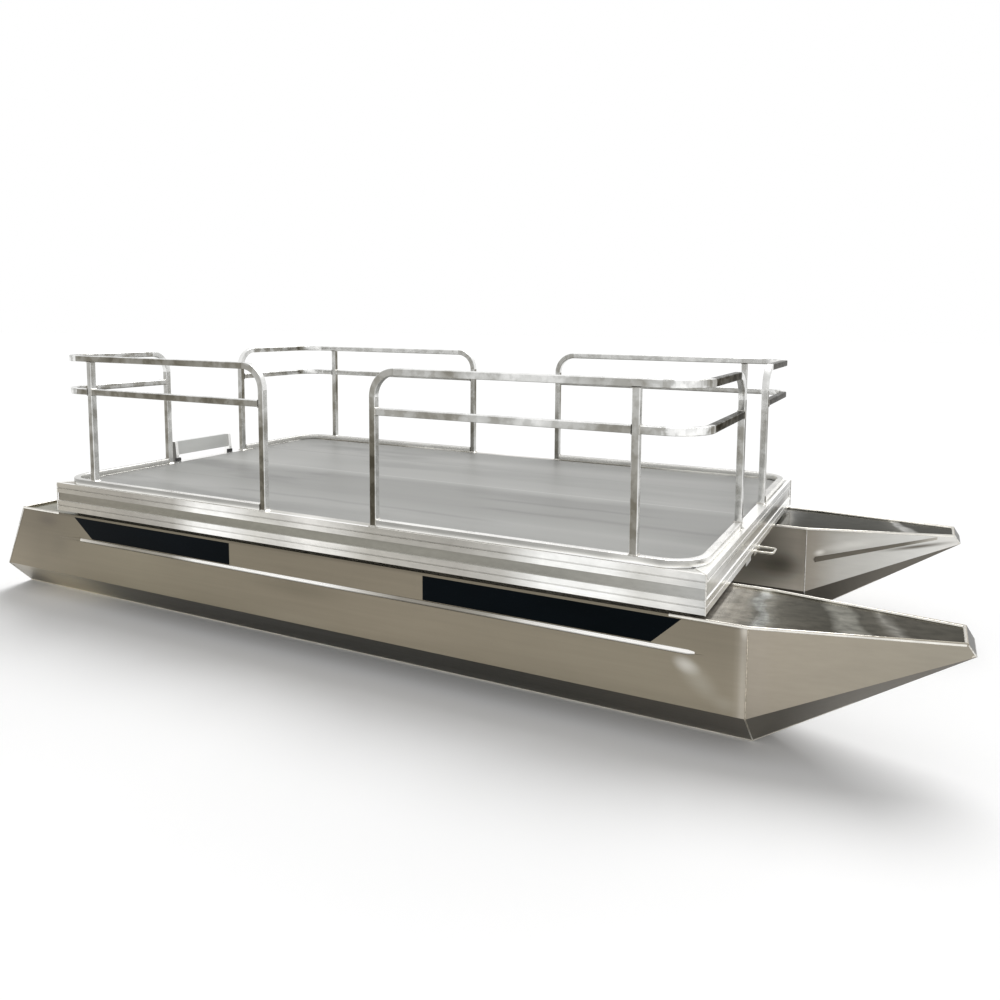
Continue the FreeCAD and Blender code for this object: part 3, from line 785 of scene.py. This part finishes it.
# painted lighter and darker tones by the way a face looks, on the ends, the sides, the tops and the far side
base_tone = base_metal.mix(base_metal.facing_x.mask(0.3, 0.7), shade(236, 235, 231), base_end)
base_tone = base_tone.toward(base_metal.outward().mask(0.2, 0.6), base_side)
base_tone = base_tone.toward(base_metal.facing_z.mask(0.4, 0.8), base_top)
brushed = base_metal.clouds(24.0, (0.3, 0.3, 1))
base_metal.surface(base_tone.varied(brushed, 0.10), brushed, (0.2, 0.34), (0.08, 0.0006))
print("rail finishes ready, base rails stand at", round(foot_z, 3))

# %% [markdown]
# ## Drawing out a ring
# The tools below start a ring of edges, draw it out by an extrusion, and close its two
# ends.  Drawn along a path it makes a tube, and each face keeps the number of its run,
# from which it gets its tone of painted reflection.

# %% Tube tools
RUNS = ALONG, ACROSS, UPRIGHT = 1, 2, 3                     # straight along X, Y and Z
BENDS = ACROSS_BEND, ALONG_BEND, LEVEL_BEND = 4, 5, 6       # turning about X, Y and Z
RUN_TONES = {
    # the painted reflection that a face shows when it looks up, down, to the sides, to the
    # ends; the finish adds the painted reflection that lengthwise runs and posts show to
    # the sides, because that changes with place
    ALONG: (0.74, 0.30, 0.00, 0.50),
    ACROSS: (0.70, 0.25, 0.50, 0.48),
    UPRIGHT: (0.60, 0.40, 0.00, 0.56),
    LEVEL_BEND: (0.74, 0.45, 0.66, 0.26),
    ALONG_BEND: (0.90, 0.45, 0.45, 0.80),
    ACROSS_BEND: (0.90, 0.74, 0.80, 0.72),
}
# painted reflection blots: their share in each kind of run
REFLECTION_BLOT_SHARES = {ACROSS: 0.4, LEVEL_BEND: 0.6}
OTHER_REFLECTION_BLOTS = 0.2
CORNER_GLINT, BEND_GLINT = 0.30, 0.45
# painted reflection: runs across the bow are dimmer on top and at their ends
BOW_TOP_DIMMER, BOW_END_DIMMER = 0.30, 0.34     # runs across the bow mirror the dark end of the hall


def square_ring(size, corner):
    """A new bmesh with one ring of edges: a square with rounded corners, across Z."""
    work = bmesh.new()
    bmesh.ops.create_grid(work, x_segments=1, y_segments=1, size=size / 2)
    bmesh.ops.bevel(work, geom=work.verts[:], offset=corner, offset_type="OFFSET", segments=4,
                    profile=0.5, affect="VERTICES", material=-1)
    bmesh.ops.delete(work, geom=work.faces[:], context="FACES_ONLY")
    return work


def round_ring(size, segments):
    work = bmesh.new()
    bmesh.ops.create_circle(work, cap_ends=False, segments=segments, radius=size / 2)
    return work


def new_end(result):
    """The ring of vertices and edges that an operator has just made."""
    verts = [g for g in result if isinstance(g, bmesh.types.BMVert)]
    inside = set(verts)
    edges = [g for g in result if isinstance(g, bmesh.types.BMEdge) and inside.issuperset(g.verts)]
    return verts, edges


def draw_out(work, edges, move):
    """Extrudes a ring by a move, and gives its new end."""
    verts, edges = new_end(bmesh.ops.extrude_edge_only(work, edges=edges)["geom"])
    bmesh.ops.translate(work, verts=verts, vec=move)
    return verts, edges


def close_ends(work):
    bmesh.ops.holes_fill(work, edges=[e for e in work.edges if e.is_boundary], sides=0)


def number_new(work, known, kinds, direction):
    """Numbers the faces that weren't there before, by the axis of a direction."""
    kind = kinds[max(range(3), key=lambda axis: abs(direction[axis]))]
    run_layer = work.faces.layers.int["run"]
    for face in work.faces:
        if face not in known:
            face[run_layer] = kind


def bend_tube(work, points, bends, steps=16):
    """Draws the ring in the bmesh along a right-angled path, and closes its ends."""
    work.faces.layers.int.new("run")
    points = [Vector(p) for p in points]
    stand(work, points[1] - points[0], points[0])
    verts, edges = work.verts[:], work.edges[:]
    here = points[0]
    for i in range(1, len(points)):
        along = (points[i] - points[i - 1]).normalized()
        bent = i < len(points) - 1
        stop = points[i] - along * (bends[i - 1] if bent else 0)
        known = set(work.faces)
        verts, edges = draw_out(work, edges, stop - here)
        number_new(work, known, RUNS, along)
        if bent:
            turn_to = (points[i + 1] - points[i]).normalized()
            pivot = stop + turn_to * bends[i - 1]
            axle = along.cross(turn_to)
            known = set(work.faces)
            spun = bmesh.ops.spin(work, geom=verts + edges, cent=pivot, axis=axle, angle=math.pi / 2,
                                  steps=steps, use_merge=False, use_duplicate=False)
            verts, edges = new_end(spun["geom_last"])
            here = pivot + along * bends[i - 1]
            number_new(work, known, BENDS, axle)
    known = set(work.faces)
    close_ends(work)
    number_new(work, known, RUNS, along)
    bmesh.ops.recalc_face_normals(work, faces=work.faces)
    return work


def tone_faces(work, along_share):
    """Gives each face its tone of painted reflection, from its run and the way it faces,
    with painted glints on rounded corners and bends, and its shares of the painted
    reflection that the finish adds: on a lengthwise run's sides, on a post's sides, on
    its ends, and small painted reflection blots, strongest in level bends; also whether
    its ends go dim."""
    layers = work.faces.layers
    run_layer = layers.int["run"]
    tone_layer, reflection_blot_layer, dim_layer = (layers.float.new(name) for name in ("tone", "reflection_blots", "dim_ends"))
    share_layer = layers.float_vector.new("shares")
    for face in work.faces:
        run, n = face[run_layer], face.normal
        above, below, sides, ends = RUN_TONES[run]
        if run == ACROSS and face.calc_center_median().x > 0:
            above, ends = above - BOW_TOP_DIMMER, ends - BOW_END_DIMMER
            face[dim_layer] = 1.0
        tone = n.x ** 2 * ends + n.y ** 2 * sides + n.z ** 2 * (above if n.z > 0 else below)
        level_corner = 4 * (n.x * n.y) ** 2
        top_corner = 4 * (n.y * n.z) ** 2 + 4 * (n.x * n.z) ** 2
        if run in (ALONG, ACROSS, UPRIGHT):
            tone += CORNER_GLINT * (level_corner + top_corner * (1 if n.z > 0 else 0.4))
        elif run == LEVEL_BEND:
            tone += BEND_GLINT * level_corner
        face[tone_layer] = tone
        face[reflection_blot_layer] = REFLECTION_BLOT_SHARES.get(run, OTHER_REFLECTION_BLOTS)
        face[share_layer] = (n.y ** 2 * along_share * (run == ALONG), n.y ** 2 * (run == UPRIGHT),
                             n.x ** 2 * (run == UPRIGHT))
    return work


# %% [markdown]
# ## Bending the rails
# The paths come from the boxes of the CAD rails, so that each smooth tube lies exactly
# on the solid that it replaces.

# %% Four corner rails
TUBE_CORNER = 0.004
POST_BEND, PLAN_BEND = 0.100, 0.130
RAILS = (("stbd_bow", -1, 1), ("port_bow", 1, 1), ("stbd_stern", -1, -1), ("port_stern", 1, -1))


def outer_axis(node_name, axis, side, inset):
    """The middle of a tube, measured in from the far face of a CAD node's box."""
    low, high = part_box(node_name)
    return high[axis] - inset if side > 0 else low[axis] + inset


def rail_lines(name, side, end):
    """The five tubes of a corner rail as paths with their bends, from the CAD boxes."""
    frame_node = "rail_%s_frame" % name
    post_low, post_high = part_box("rail_%s_post" % name)
    base_low, base_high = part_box("rail_%s_base" % name)
    tube, deck_z = base_high.z - base_low.z, base_low.z
    half = tube / 2
    far_x, gate_x = (outer_axis(frame_node, 0, way, half) for way in (end, -end))
    rail_y, stop_y = (outer_axis(frame_node, 1, way, half) for way in (side, -side))
    top_z, base_z = outer_axis(frame_node, 2, 1, half), deck_z + half
    mid_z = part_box("rail_%s_mid_side" % name)[0].z + half
    post_x = (post_low.x + post_high.x) / 2
    along, across = end * half, side * half
    return tube, {
        "frame": ([(gate_x, rail_y, deck_z), (gate_x, rail_y, top_z), (far_x, rail_y, top_z),
                   (far_x, stop_y, top_z), (far_x, stop_y, deck_z)], [POST_BEND, PLAN_BEND, POST_BEND]),
        "base": ([(gate_x + along, rail_y, base_z), (far_x, rail_y, base_z),
                  (far_x, stop_y + across, base_z)], [PLAN_BEND]),
        "post": ([(post_x, rail_y, deck_z + tube), (post_x, rail_y, top_z - half)], []),
        "mid_side": ([(gate_x + along, rail_y, mid_z), (post_x - along, rail_y, mid_z)], []),
        "mid_end": ([(post_x + along, rail_y, mid_z), (far_x, rail_y, mid_z),
                     (far_x, stop_y + across, mid_z)], [PLAN_BEND]),
    }


for name, side, end in RAILS:
    tube, lines = rail_lines(name, side, end)
    for part, (points, bends) in lines.items():
        work = bend_tube(square_ring(tube, TUBE_CORNER), points, bends)
        tone_faces(work, 0.84 if part.startswith("mid") else 1.0)
        finish = base_metal if part == "base" else rail_metal
        smooth_tube = make_piece("rail_%s_%s_tube" % (name, part), work, finish)
        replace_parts(smooth_tube, "rail_%s_%s" % (name, part))
print("rails of", round(tube * 1000, 1), "mm tube")


# %% [markdown]
# ## Welds at the rails' joints
# A post that is welded to a flat face gets a fillet all round: a low square skirt that
# is wide at the face and dies into the tube.  A four-sided cone with its slanted edges
# rounded is that skirt.  The feet on the deck carry the load and have wide fillets, and
# the joints between tubes have small ones.

# %% Fillets
FOOT_LEG, POST_LEG, JOINT_LEG = 0.0065, 0.004, 0.003


def fillet(work, foot, along, size, leg):
    """A square weld skirt round a tube that leaves a face at foot, towards along."""
    part = bmesh.new()
    bmesh.ops.create_cone(part, cap_ends=True, segments=4, radius1=(size / 2 + leg) * math.sqrt(2),
                          radius2=(size / 2 + leg * 0.08) * math.sqrt(2), depth=leg)
    bmesh.ops.rotate(part, verts=part.verts, cent=(0, 0, 0), matrix=Matrix.Rotation(math.pi / 4, 3, "Z"))
    bmesh.ops.translate(part, verts=part.verts, vec=(0, 0, leg / 2))
    slants = [e for e in part.edges if abs(e.verts[0].co.z - e.verts[1].co.z) > leg * 0.5]
    ease(part, slants, leg * 0.7, segments=4)
    stand(part, along, foot)
    add_to(work, part)


for name, side, end in RAILS:
    tube, lines = rail_lines(name, side, end)
    to_bow, outwards = X * end, Y * side
    joints = (
        # tube, which end of it, the way it leaves the joint, the fillet's leg
        ("frame", 0, Z, FOOT_LEG), ("frame", -1, Z, FOOT_LEG),
        ("post", 0, Z, POST_LEG), ("post", -1, -Z, JOINT_LEG),
        ("base", 0, to_bow, JOINT_LEG), ("base", -1, outwards, JOINT_LEG),
        ("mid_side", 0, to_bow, JOINT_LEG), ("mid_side", -1, -to_bow, JOINT_LEG),
        ("mid_end", 0, to_bow, JOINT_LEG), ("mid_end", -1, outwards, JOINT_LEG),
    )
    welds = bmesh.new()
    for part, which, along, leg in joints:
        fillet(welds, lines[part][0][which], along, tube, leg)
    make_piece("rail_%s_welds" % name, welds, weld_grey)
print("fillets welded")

# %% [markdown]
# ## Weld beads
# A bead is laid puddle by puddle, so its line swells and shrinks in a small even step.
# A ring drawn out step by step along the seam, every second ring a little smaller,
# makes that.  The same tool lays the bright beads along the floats' top edges, where
# the side sheet is closed over the top plate, and the finer ones at the seams.

# %% Bead tool
BEAD_SEGMENTS = 10
COARSE, FINE = 0.012, 0.006


def grow(work, verts, size, centre):
    bmesh.ops.scale(work, verts=verts, vec=(size, size, size), space=Matrix.Translation(-Vector(centre)))


def lay_bead(work, points, radius, step=COARSE, across=None, ripple=0.86):
    """Draws a rippled round bead along a path; across is the ring's own normal."""
    part = round_ring(radius * 2, BEAD_SEGMENTS)
    points = [Vector(p) for p in points]
    stand(part, across or points[1] - points[0], points[0])
    edges, size = part.edges[:], ripple
    for start, stop in zip(points, points[1:]):
        count = max(1, round((stop - start).length / step))
        for i in range(count):
            verts, edges = draw_out(part, edges, (stop - start) / count)
            grow(part, verts, size, start + (stop - start) * ((i + 1) / count))
            size = 1 / size
    close_ends(part)
    add_to(work, part)


# %% [markdown]
# ## The beads on the floats
# Each float has a bead round its top rim, one round the seam where the bow is welded
# on, and one round each end plate.  The rim bead sits on the corner of the sheet and
# stays clear of the deck above it; where the deck covers it, it takes the sheet's
# darker finish as painted shade.

# %% Float beads
CHINE_IN, CHINE_UP = 0.156, 0.145
NOSE_HALF, NOSE_LOW_HALF, NOSE_HIGH, NOSE_RAKE = 0.085, 0.0799, 0.039, 0.025
STERN_RAKE = 0.205
RIM_SUNK = 0.004
UNDER_STERN, UNDER_BOW = 0.010, 0.120       # how far the rim's bead runs on under the deck
SEAM_FROM_RIM, SEAM_FROM_FLOOR, STERN_PROUD = 0.010, 0.003, 0.0035
RIM_BEAD, BOW_RIM_BEAD, END_RIM_BEAD, COVERED_BEAD = 0.0060, 0.0062, 0.0058, 0.0045
SEAM_BEAD, NOSE_BEAD, STERN_BEAD, KEEL_BEAD = 0.0028, 0.0032, 0.003, 0.0034
stern_low, stern_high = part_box("stern_plate_port")
cone_low, cone_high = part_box("bow_cone_port")
seam_x, nose_x, nose_top_x = cone_low.x, cone_high.x, cone_high.x - NOSE_RAKE
stern_x, stern_top_x = stern_low.x, stern_low.x + STERN_RAKE
stern_chine_x = stern_x + STERN_RAKE * CHINE_UP / stern_high.z
outer_y, inner_y, rim_z, nose_z = stern_high.y, stern_low.y, stern_high.z, cone_high.z
middle_y, nose_low_z = (outer_y + inner_y) / 2, nose_z - NOSE_HIGH
keel_out, keel_in = outer_y - CHINE_IN, inner_y + CHINE_IN


def on_side(points, side):
    return [(x, y * side, z) for x, y, z in points]


def rim_beads(side):
    """The bright bead round a float's top, and where the deck covers it the same bead,
    which takes the darker sheet finish as painted shade.
    """
    rim, covered = bmesh.new(), bmesh.new()
    z = rim_z - RIM_SUNK
    for side_y, way in ((outer_y, 1), (inner_y, -1)):
        y, nose_y = side_y - way * RIM_SUNK, middle_y + way * (NOSE_HALF - RIM_SUNK)
        stern = [(stern_top_x, y, z), (deck_stern_x + UNDER_STERN, y, z)]
        bow = [(deck_bow_x - UNDER_BOW, y, z), (seam_x, y, z),
               (nose_top_x - 0.004, nose_y, nose_z - RIM_SUNK - 0.003)]
        under = [(deck_stern_x, y, z), (deck_bow_x, y, z)]
        lay_bead(rim, on_side(stern, side), RIM_BEAD, across=X, ripple=0.95)
        lay_bead(rim, on_side(bow, side), BOW_RIM_BEAD, across=X, ripple=0.95)
        lay_bead(covered, on_side(under, side), COVERED_BEAD, across=X)
    for x, z, half in ((stern_top_x + 0.002, z, (outer_y - inner_y) / 2 - 0.004),
                       (nose_top_x - 0.005, nose_z - RIM_SUNK - 0.001, NOSE_HALF - 0.004)):
        line = [(x, middle_y - half, z), (x, middle_y + half, z)]
        lay_bead(rim, on_side(line, side), END_RIM_BEAD, across=Y, ripple=0.93)
    return rim, covered


def seam_beads(side):
    """The fine beads round the bow's seam, on the nose and round the stern plate."""
    top_z, low_z = rim_z - SEAM_FROM_RIM, SEAM_FROM_FLOOR
    seams = [
        (SEAM_BEAD, (seam_x, outer_y, top_z), (seam_x, outer_y, CHINE_UP), (seam_x, keel_out, low_z)),
        (SEAM_BEAD, (seam_x, keel_in, low_z), (seam_x, inner_y, CHINE_UP), (seam_x, inner_y, top_z)),
    ]
    for way in (1, -1):
        seams.append((NOSE_BEAD, (nose_top_x, middle_y + way * (NOSE_HALF - 0.002), nose_z - 0.006),
                      (nose_x - 0.003, middle_y + way * (NOSE_LOW_HALF - 0.002), nose_low_z)))
    seams.append((NOSE_BEAD, (nose_x - 0.004, middle_y - NOSE_LOW_HALF, nose_low_z + 0.001),
                  (nose_x - 0.004, middle_y + NOSE_LOW_HALF, nose_low_z + 0.001)))
    for side_y, keel_y in ((outer_y, keel_out), (inner_y, keel_in)):
        seams.append((STERN_BEAD, (stern_top_x + STERN_PROUD, side_y, top_z),
                      (stern_chine_x + STERN_PROUD, side_y, CHINE_UP),
                      (stern_x + STERN_PROUD + 0.002, keel_y, low_z)))
    work = bmesh.new()
    for radius, *path in seams:
        for line in zip(path, path[1:]):
            lay_bead(work, on_side(line, side), radius, FINE)
    return work


def keel_beads(side):
    """The beads where the bottom meets its slanted sides, from the stern to the nose."""
    work = bmesh.new()
    for keel_y, way in ((keel_out, 1), (keel_in, -1)):
        y = keel_y + way * 0.002
        line = [(stern_x + 0.006, y, KEEL_BEAD), (seam_x, y, KEEL_BEAD),
                (nose_x - 0.006, middle_y + way * NOSE_LOW_HALF, nose_low_z + KEEL_BEAD)]
        lay_bead(work, on_side(line, side), KEEL_BEAD, 0.02, across=X, ripple=0.97)
    return work


for side_name, side in SIDES:
    rim, covered = rim_beads(side)
    make_piece("rim_bead_%s" % side_name, rim, rim_metal)
    # painted shade: under the deck the rim's bead takes the darker sheet finish
    make_piece("rim_bead_under_deck_%s" % side_name, covered, float_sheet)
    make_piece("float_seams_%s" % side_name, seam_beads(side), weld_metal)
    make_piece("keel_beads_%s" % side_name, keel_beads(side), keel_metal)
print("rim and seam beads laid, seam at x", round(seam_x, 3))

# %% [markdown]
# ## The pressed bead along the side
# A long half-round bead is rolled into the outer side to stiffen it.  It is polished,
# and painted highlights along it make it the brightest line on the hull, with painted
# shade on its underside.  The CAD solid has it in flat facets, and a fine round bar
# with drawn-out ends lies over them.

# %% Pressed beads
BEAD_RADIUS, BEAD_END, BEAD_POINT = 0.010, 0.005, 0.022
BEAD_BELOW_RIM, STERN_GAP, SEAM_GAP = 0.117, 0.615, 0.168
bead_y, bead_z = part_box("float_log_port")[1].y - BEAD_RADIUS, rim_z - BEAD_BELOW_RIM
bead_start, bead_stop = stern_x + STERN_GAP, seam_x - SEAM_GAP

bead_polish_and_highlight = Finish("bead_polish_and_highlight")
shine = bead_polish_and_highlight.clouds(14.0, (0.08, 1, 1))
# painted highlights and dimmer stretches of painted reflection along the bead
bead_tone = bead_polish_and_highlight.x.ramp(
    (-1.76, 214, 210, 202), (-1.60, 214, 210, 202), (-1.5, 184, 180, 172), (-1.3, 150, 145, 134),
    (-0.98, 156, 152, 143), (-0.83, 246, 245, 241), (-0.1, 250, 249, 246), (0.1, 196, 193, 186),
    (0.26, 148, 144, 136), (0.5, 142, 138, 129), (0.64, 160, 157, 149), (0.8, 222, 220, 215),
    (1.05, 250, 249, 246), (1.42, 246, 244, 240), (1.45, 246, 244, 240))
# painted shade on the faces that look down, except near the stern end
lit = bead_polish_and_highlight.maths("MAXIMUM", bead_polish_and_highlight.facing_z.mask(-0.85, -0.45), bead_polish_and_highlight.x.mask(-1.54, -1.60))
bead_tone = bead_tone.toward(1 - lit, shade(88, 82, 71))
bead_polish_and_highlight.surface(bead_tone.varied(shine, 0.06), shine, (0.12, 0.28), (0.1, 0.0006))

for side_name, side in SIDES:
    work = round_ring(BEAD_END * 2, 32)
    stand(work, X, (bead_start, side * bead_y, bead_z))
    edges, here = work.edges[:], bead_start
    swell = BEAD_RADIUS / BEAD_END
    for x, size in ((bead_start + BEAD_POINT, swell), (bead_stop - BEAD_POINT, 1), (bead_stop, 1 / swell)):
        verts, edges = draw_out(work, edges, (x - here, 0, 0))
        grow(work, verts, size, (x, side * bead_y, bead_z))
        here = x
    close_ends(work)
    make_piece("pressed_bead_%s" % side_name, work, bead_polish_and_highlight)
print("pressed beads from x", round(bead_start, 3), "to", round(bead_stop, 3))

# %% [markdown]
# ## The vinyl bands
# A dark band of vinyl runs along each side between the rim and the pressed bead, with
# slanted ends, and leaves the sheet bare in the middle.  Each length is a flat face
# given the thickness of a film.

# %% Bands
BAND_LOW, BAND_HIGH, FILM, FILM_SUNK = 0.3445, 0.4395, 0.0006, 0.0002
BANDS = (
    # where the bottom edge starts and stops along X, and where the top edge does
    ((-1.512, -0.630), (-1.634, -0.630)), ((0.360, 1.262), (0.360, 1.364)))
for side_name, side in SIDES:
    work = bmesh.new()
    for bottom, top in BANDS:
        strip = bmesh.new()
        bmesh.ops.create_grid(strip, x_segments=1, y_segments=1, size=0.5)
        for vert in strip.verts:
            ends, z = (bottom, BAND_LOW) if vert.co.y < 0 else (top, BAND_HIGH)
            vert.co = (ends[0] if vert.co.x < 0 else ends[1], side * (outer_y - FILM_SUNK), z)
        lifted = bmesh.ops.extrude_face_region(strip, geom=strip.faces[:])["geom"]
        bmesh.ops.translate(strip, verts=new_end(lifted)[0], vec=(0, side * (FILM + FILM_SUNK), 0))
        add_to(work, strip)
    make_piece("side_band_%s" % side_name, work, navy_vinyl)
print("bands laid")

# %% [markdown]
# ## Welds on the deck's edge
# The four lengths of extrusion meet in mitres.  Each corner has an upright bead on its
# edge and a flat one across the mitre on top.

# %% Deck corner welds
EDGE_REACH, CORNER_BEAD, MITRE_BEAD, MITRE_SUNK = 0.050, 0.0028, 0.003, 0.0012
work = bmesh.new()
for x, way in ((deck_bow_x, 1), (deck_stern_x, -1)):
    for side_name, side in SIDES:
        y, mitre_z = side * edge_high.y, edge_high.z - MITRE_SUNK
        lay_bead(work, [(x, y, edge_low.z), (x, y, edge_high.z)], CORNER_BEAD, FINE)
        inner_end = (x - way * EDGE_REACH, y - side * EDGE_REACH, mitre_z)
        lay_bead(work, [(x, y, mitre_z), inner_end], MITRE_BEAD, FINE)
make_piece("deck_corner_welds", work, weld_metal)
print("deck corners welded")

# %% [markdown]
# ## The bow eye
# A round rod bent into a U and welded to a small plate under the deck's bow edge.  The
# rod is drawn with the same tools as the rails, from a round ring.

# %% Bow eye
ROD, ROD_BEND, ROD_HALF_SPAN, ROD_DROP, EYE_PLATE = 0.010, 0.016, 0.041, 0.0065, 0.006
eye_low, eye_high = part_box("bow_eye")
back_x, front_x, rod_z = eye_low.x + EYE_PLATE / 2, eye_high.x - ROD / 2, eye_high.z - ROD_DROP
path = [(back_x, -ROD_HALF_SPAN, rod_z), (front_x, -ROD_HALF_SPAN, rod_z),
        (front_x, ROD_HALF_SPAN, rod_z), (back_x, ROD_HALF_SPAN, rod_z)]
work = bend_tube(round_ring(ROD, 20), path, [ROD_BEND, ROD_BEND])
plate_size = (EYE_PLATE, eye_high.y - eye_low.y, eye_high.z - eye_low.z)
add_to(work, eased_block(plate_size, (back_x, 0, (eye_low.z + eye_high.z) / 2), 0.0012))
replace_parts(make_piece("bow_eye_rod", work, rod_metal), "bow_eye")
work = bmesh.new()
for y in (-ROD_HALF_SPAN, ROD_HALF_SPAN):
    lay_bead(work, [(back_x + 0.002, y, rod_z), (back_x + 0.007, y, rod_z)], 0.0085, 0.0025, ripple=0.9)
make_piece("bow_eye_welds", work, weld_metal)
print("bow eye made")

# %% [markdown]
# ## The motor mount's bolts
# The board is held from behind by two bolts at each end.  A bolt head is a short
# six-sided cone on a thin washer, its edges eased.

# %% Bolts
WASHER, HEAD = 0.0016, 0.006


def hex_bolt(work, place, along, size):
    part, head = bmesh.new(), bmesh.new()
    for shape, sides, low, high, depth in ((part, 24, 0.95, 0.95, WASHER), (head, 6, 0.62, 0.6, HEAD)):
        bmesh.ops.create_cone(shape, cap_ends=True, segments=sides, radius1=size * low, radius2=size * high,
                              depth=depth)
    ease(head, head.edges[:], 0.0008, segments=2)
    bmesh.ops.translate(head, verts=head.verts, vec=(0, 0, HEAD * 0.6))
    add_to(part, head)
    stand(part, along, place)
    add_to(work, part)


board_low, board_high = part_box("motor_board")
work = bmesh.new()
for side_name, side in SIDES:
    for z in (board_low.z + 0.02, board_high.z - 0.02):
        hex_bolt(work, (board_low.x - 0.0006, side * (board_high.y - 0.035), z), -X, 0.013)
make_piece("motor_board_bolts", work, rod_metal)
print("motor mount bolted")

# %% [markdown]
# ## Pads under the motor mount
# A rubber pad wraps each cheek's foot where it stands on the deck's edge, so that the
# motor's shaking doesn't wear the metal.  It is a low block with eased edges.

# %% Pads
PAD_HEIGHT, PAD_INSIDE, PAD_OUTSIDE, PAD_BEHIND, PAD_AHEAD = 0.017, 0.012, 0.003, 0.001, 0.004
for side_name, side in SIDES:
    cheek_low, cheek_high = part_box("motor_cheek_" + side_name)
    inner, outer = sorted((abs(cheek_low.y), abs(cheek_high.y)))
    low = Vector((deck_stern_x + PAD_BEHIND, inner - PAD_INSIDE, edge_high.z))
    high = Vector((cheek_high.x + PAD_AHEAD, outer + PAD_OUTSIDE, edge_high.z + PAD_HEIGHT))
    centre = (low + high) / 2
    work = eased_block(high - low, (centre.x, side * centre.y, centre.z), 0.002)
    make_piece("motor_pad_" + side_name, work, black_rubber)
print("pads fitted")

# %% [markdown]
# ## Drain plugs
# Each float has a screwed plug low in its stern plate, so that water which gets in can
# be let out.

# %% Drain plugs
PLUG_Z, PLUG_PROUD, PLUG_SIZE = 0.075, 0.0006, 0.026
stern_slope = Vector((-rim_z, 0, STERN_RAKE)).normalized()
work = bmesh.new()
for side_name, side in SIDES:
    on_plate = Vector((stern_x + STERN_RAKE * PLUG_Z / rim_z, side * middle_y, PLUG_Z))
    hex_bolt(work, on_plate + stern_slope * PLUG_PROUD, stern_slope, PLUG_SIZE)
make_piece("drain_plugs", work, rod_metal)
print("plugs fitted")
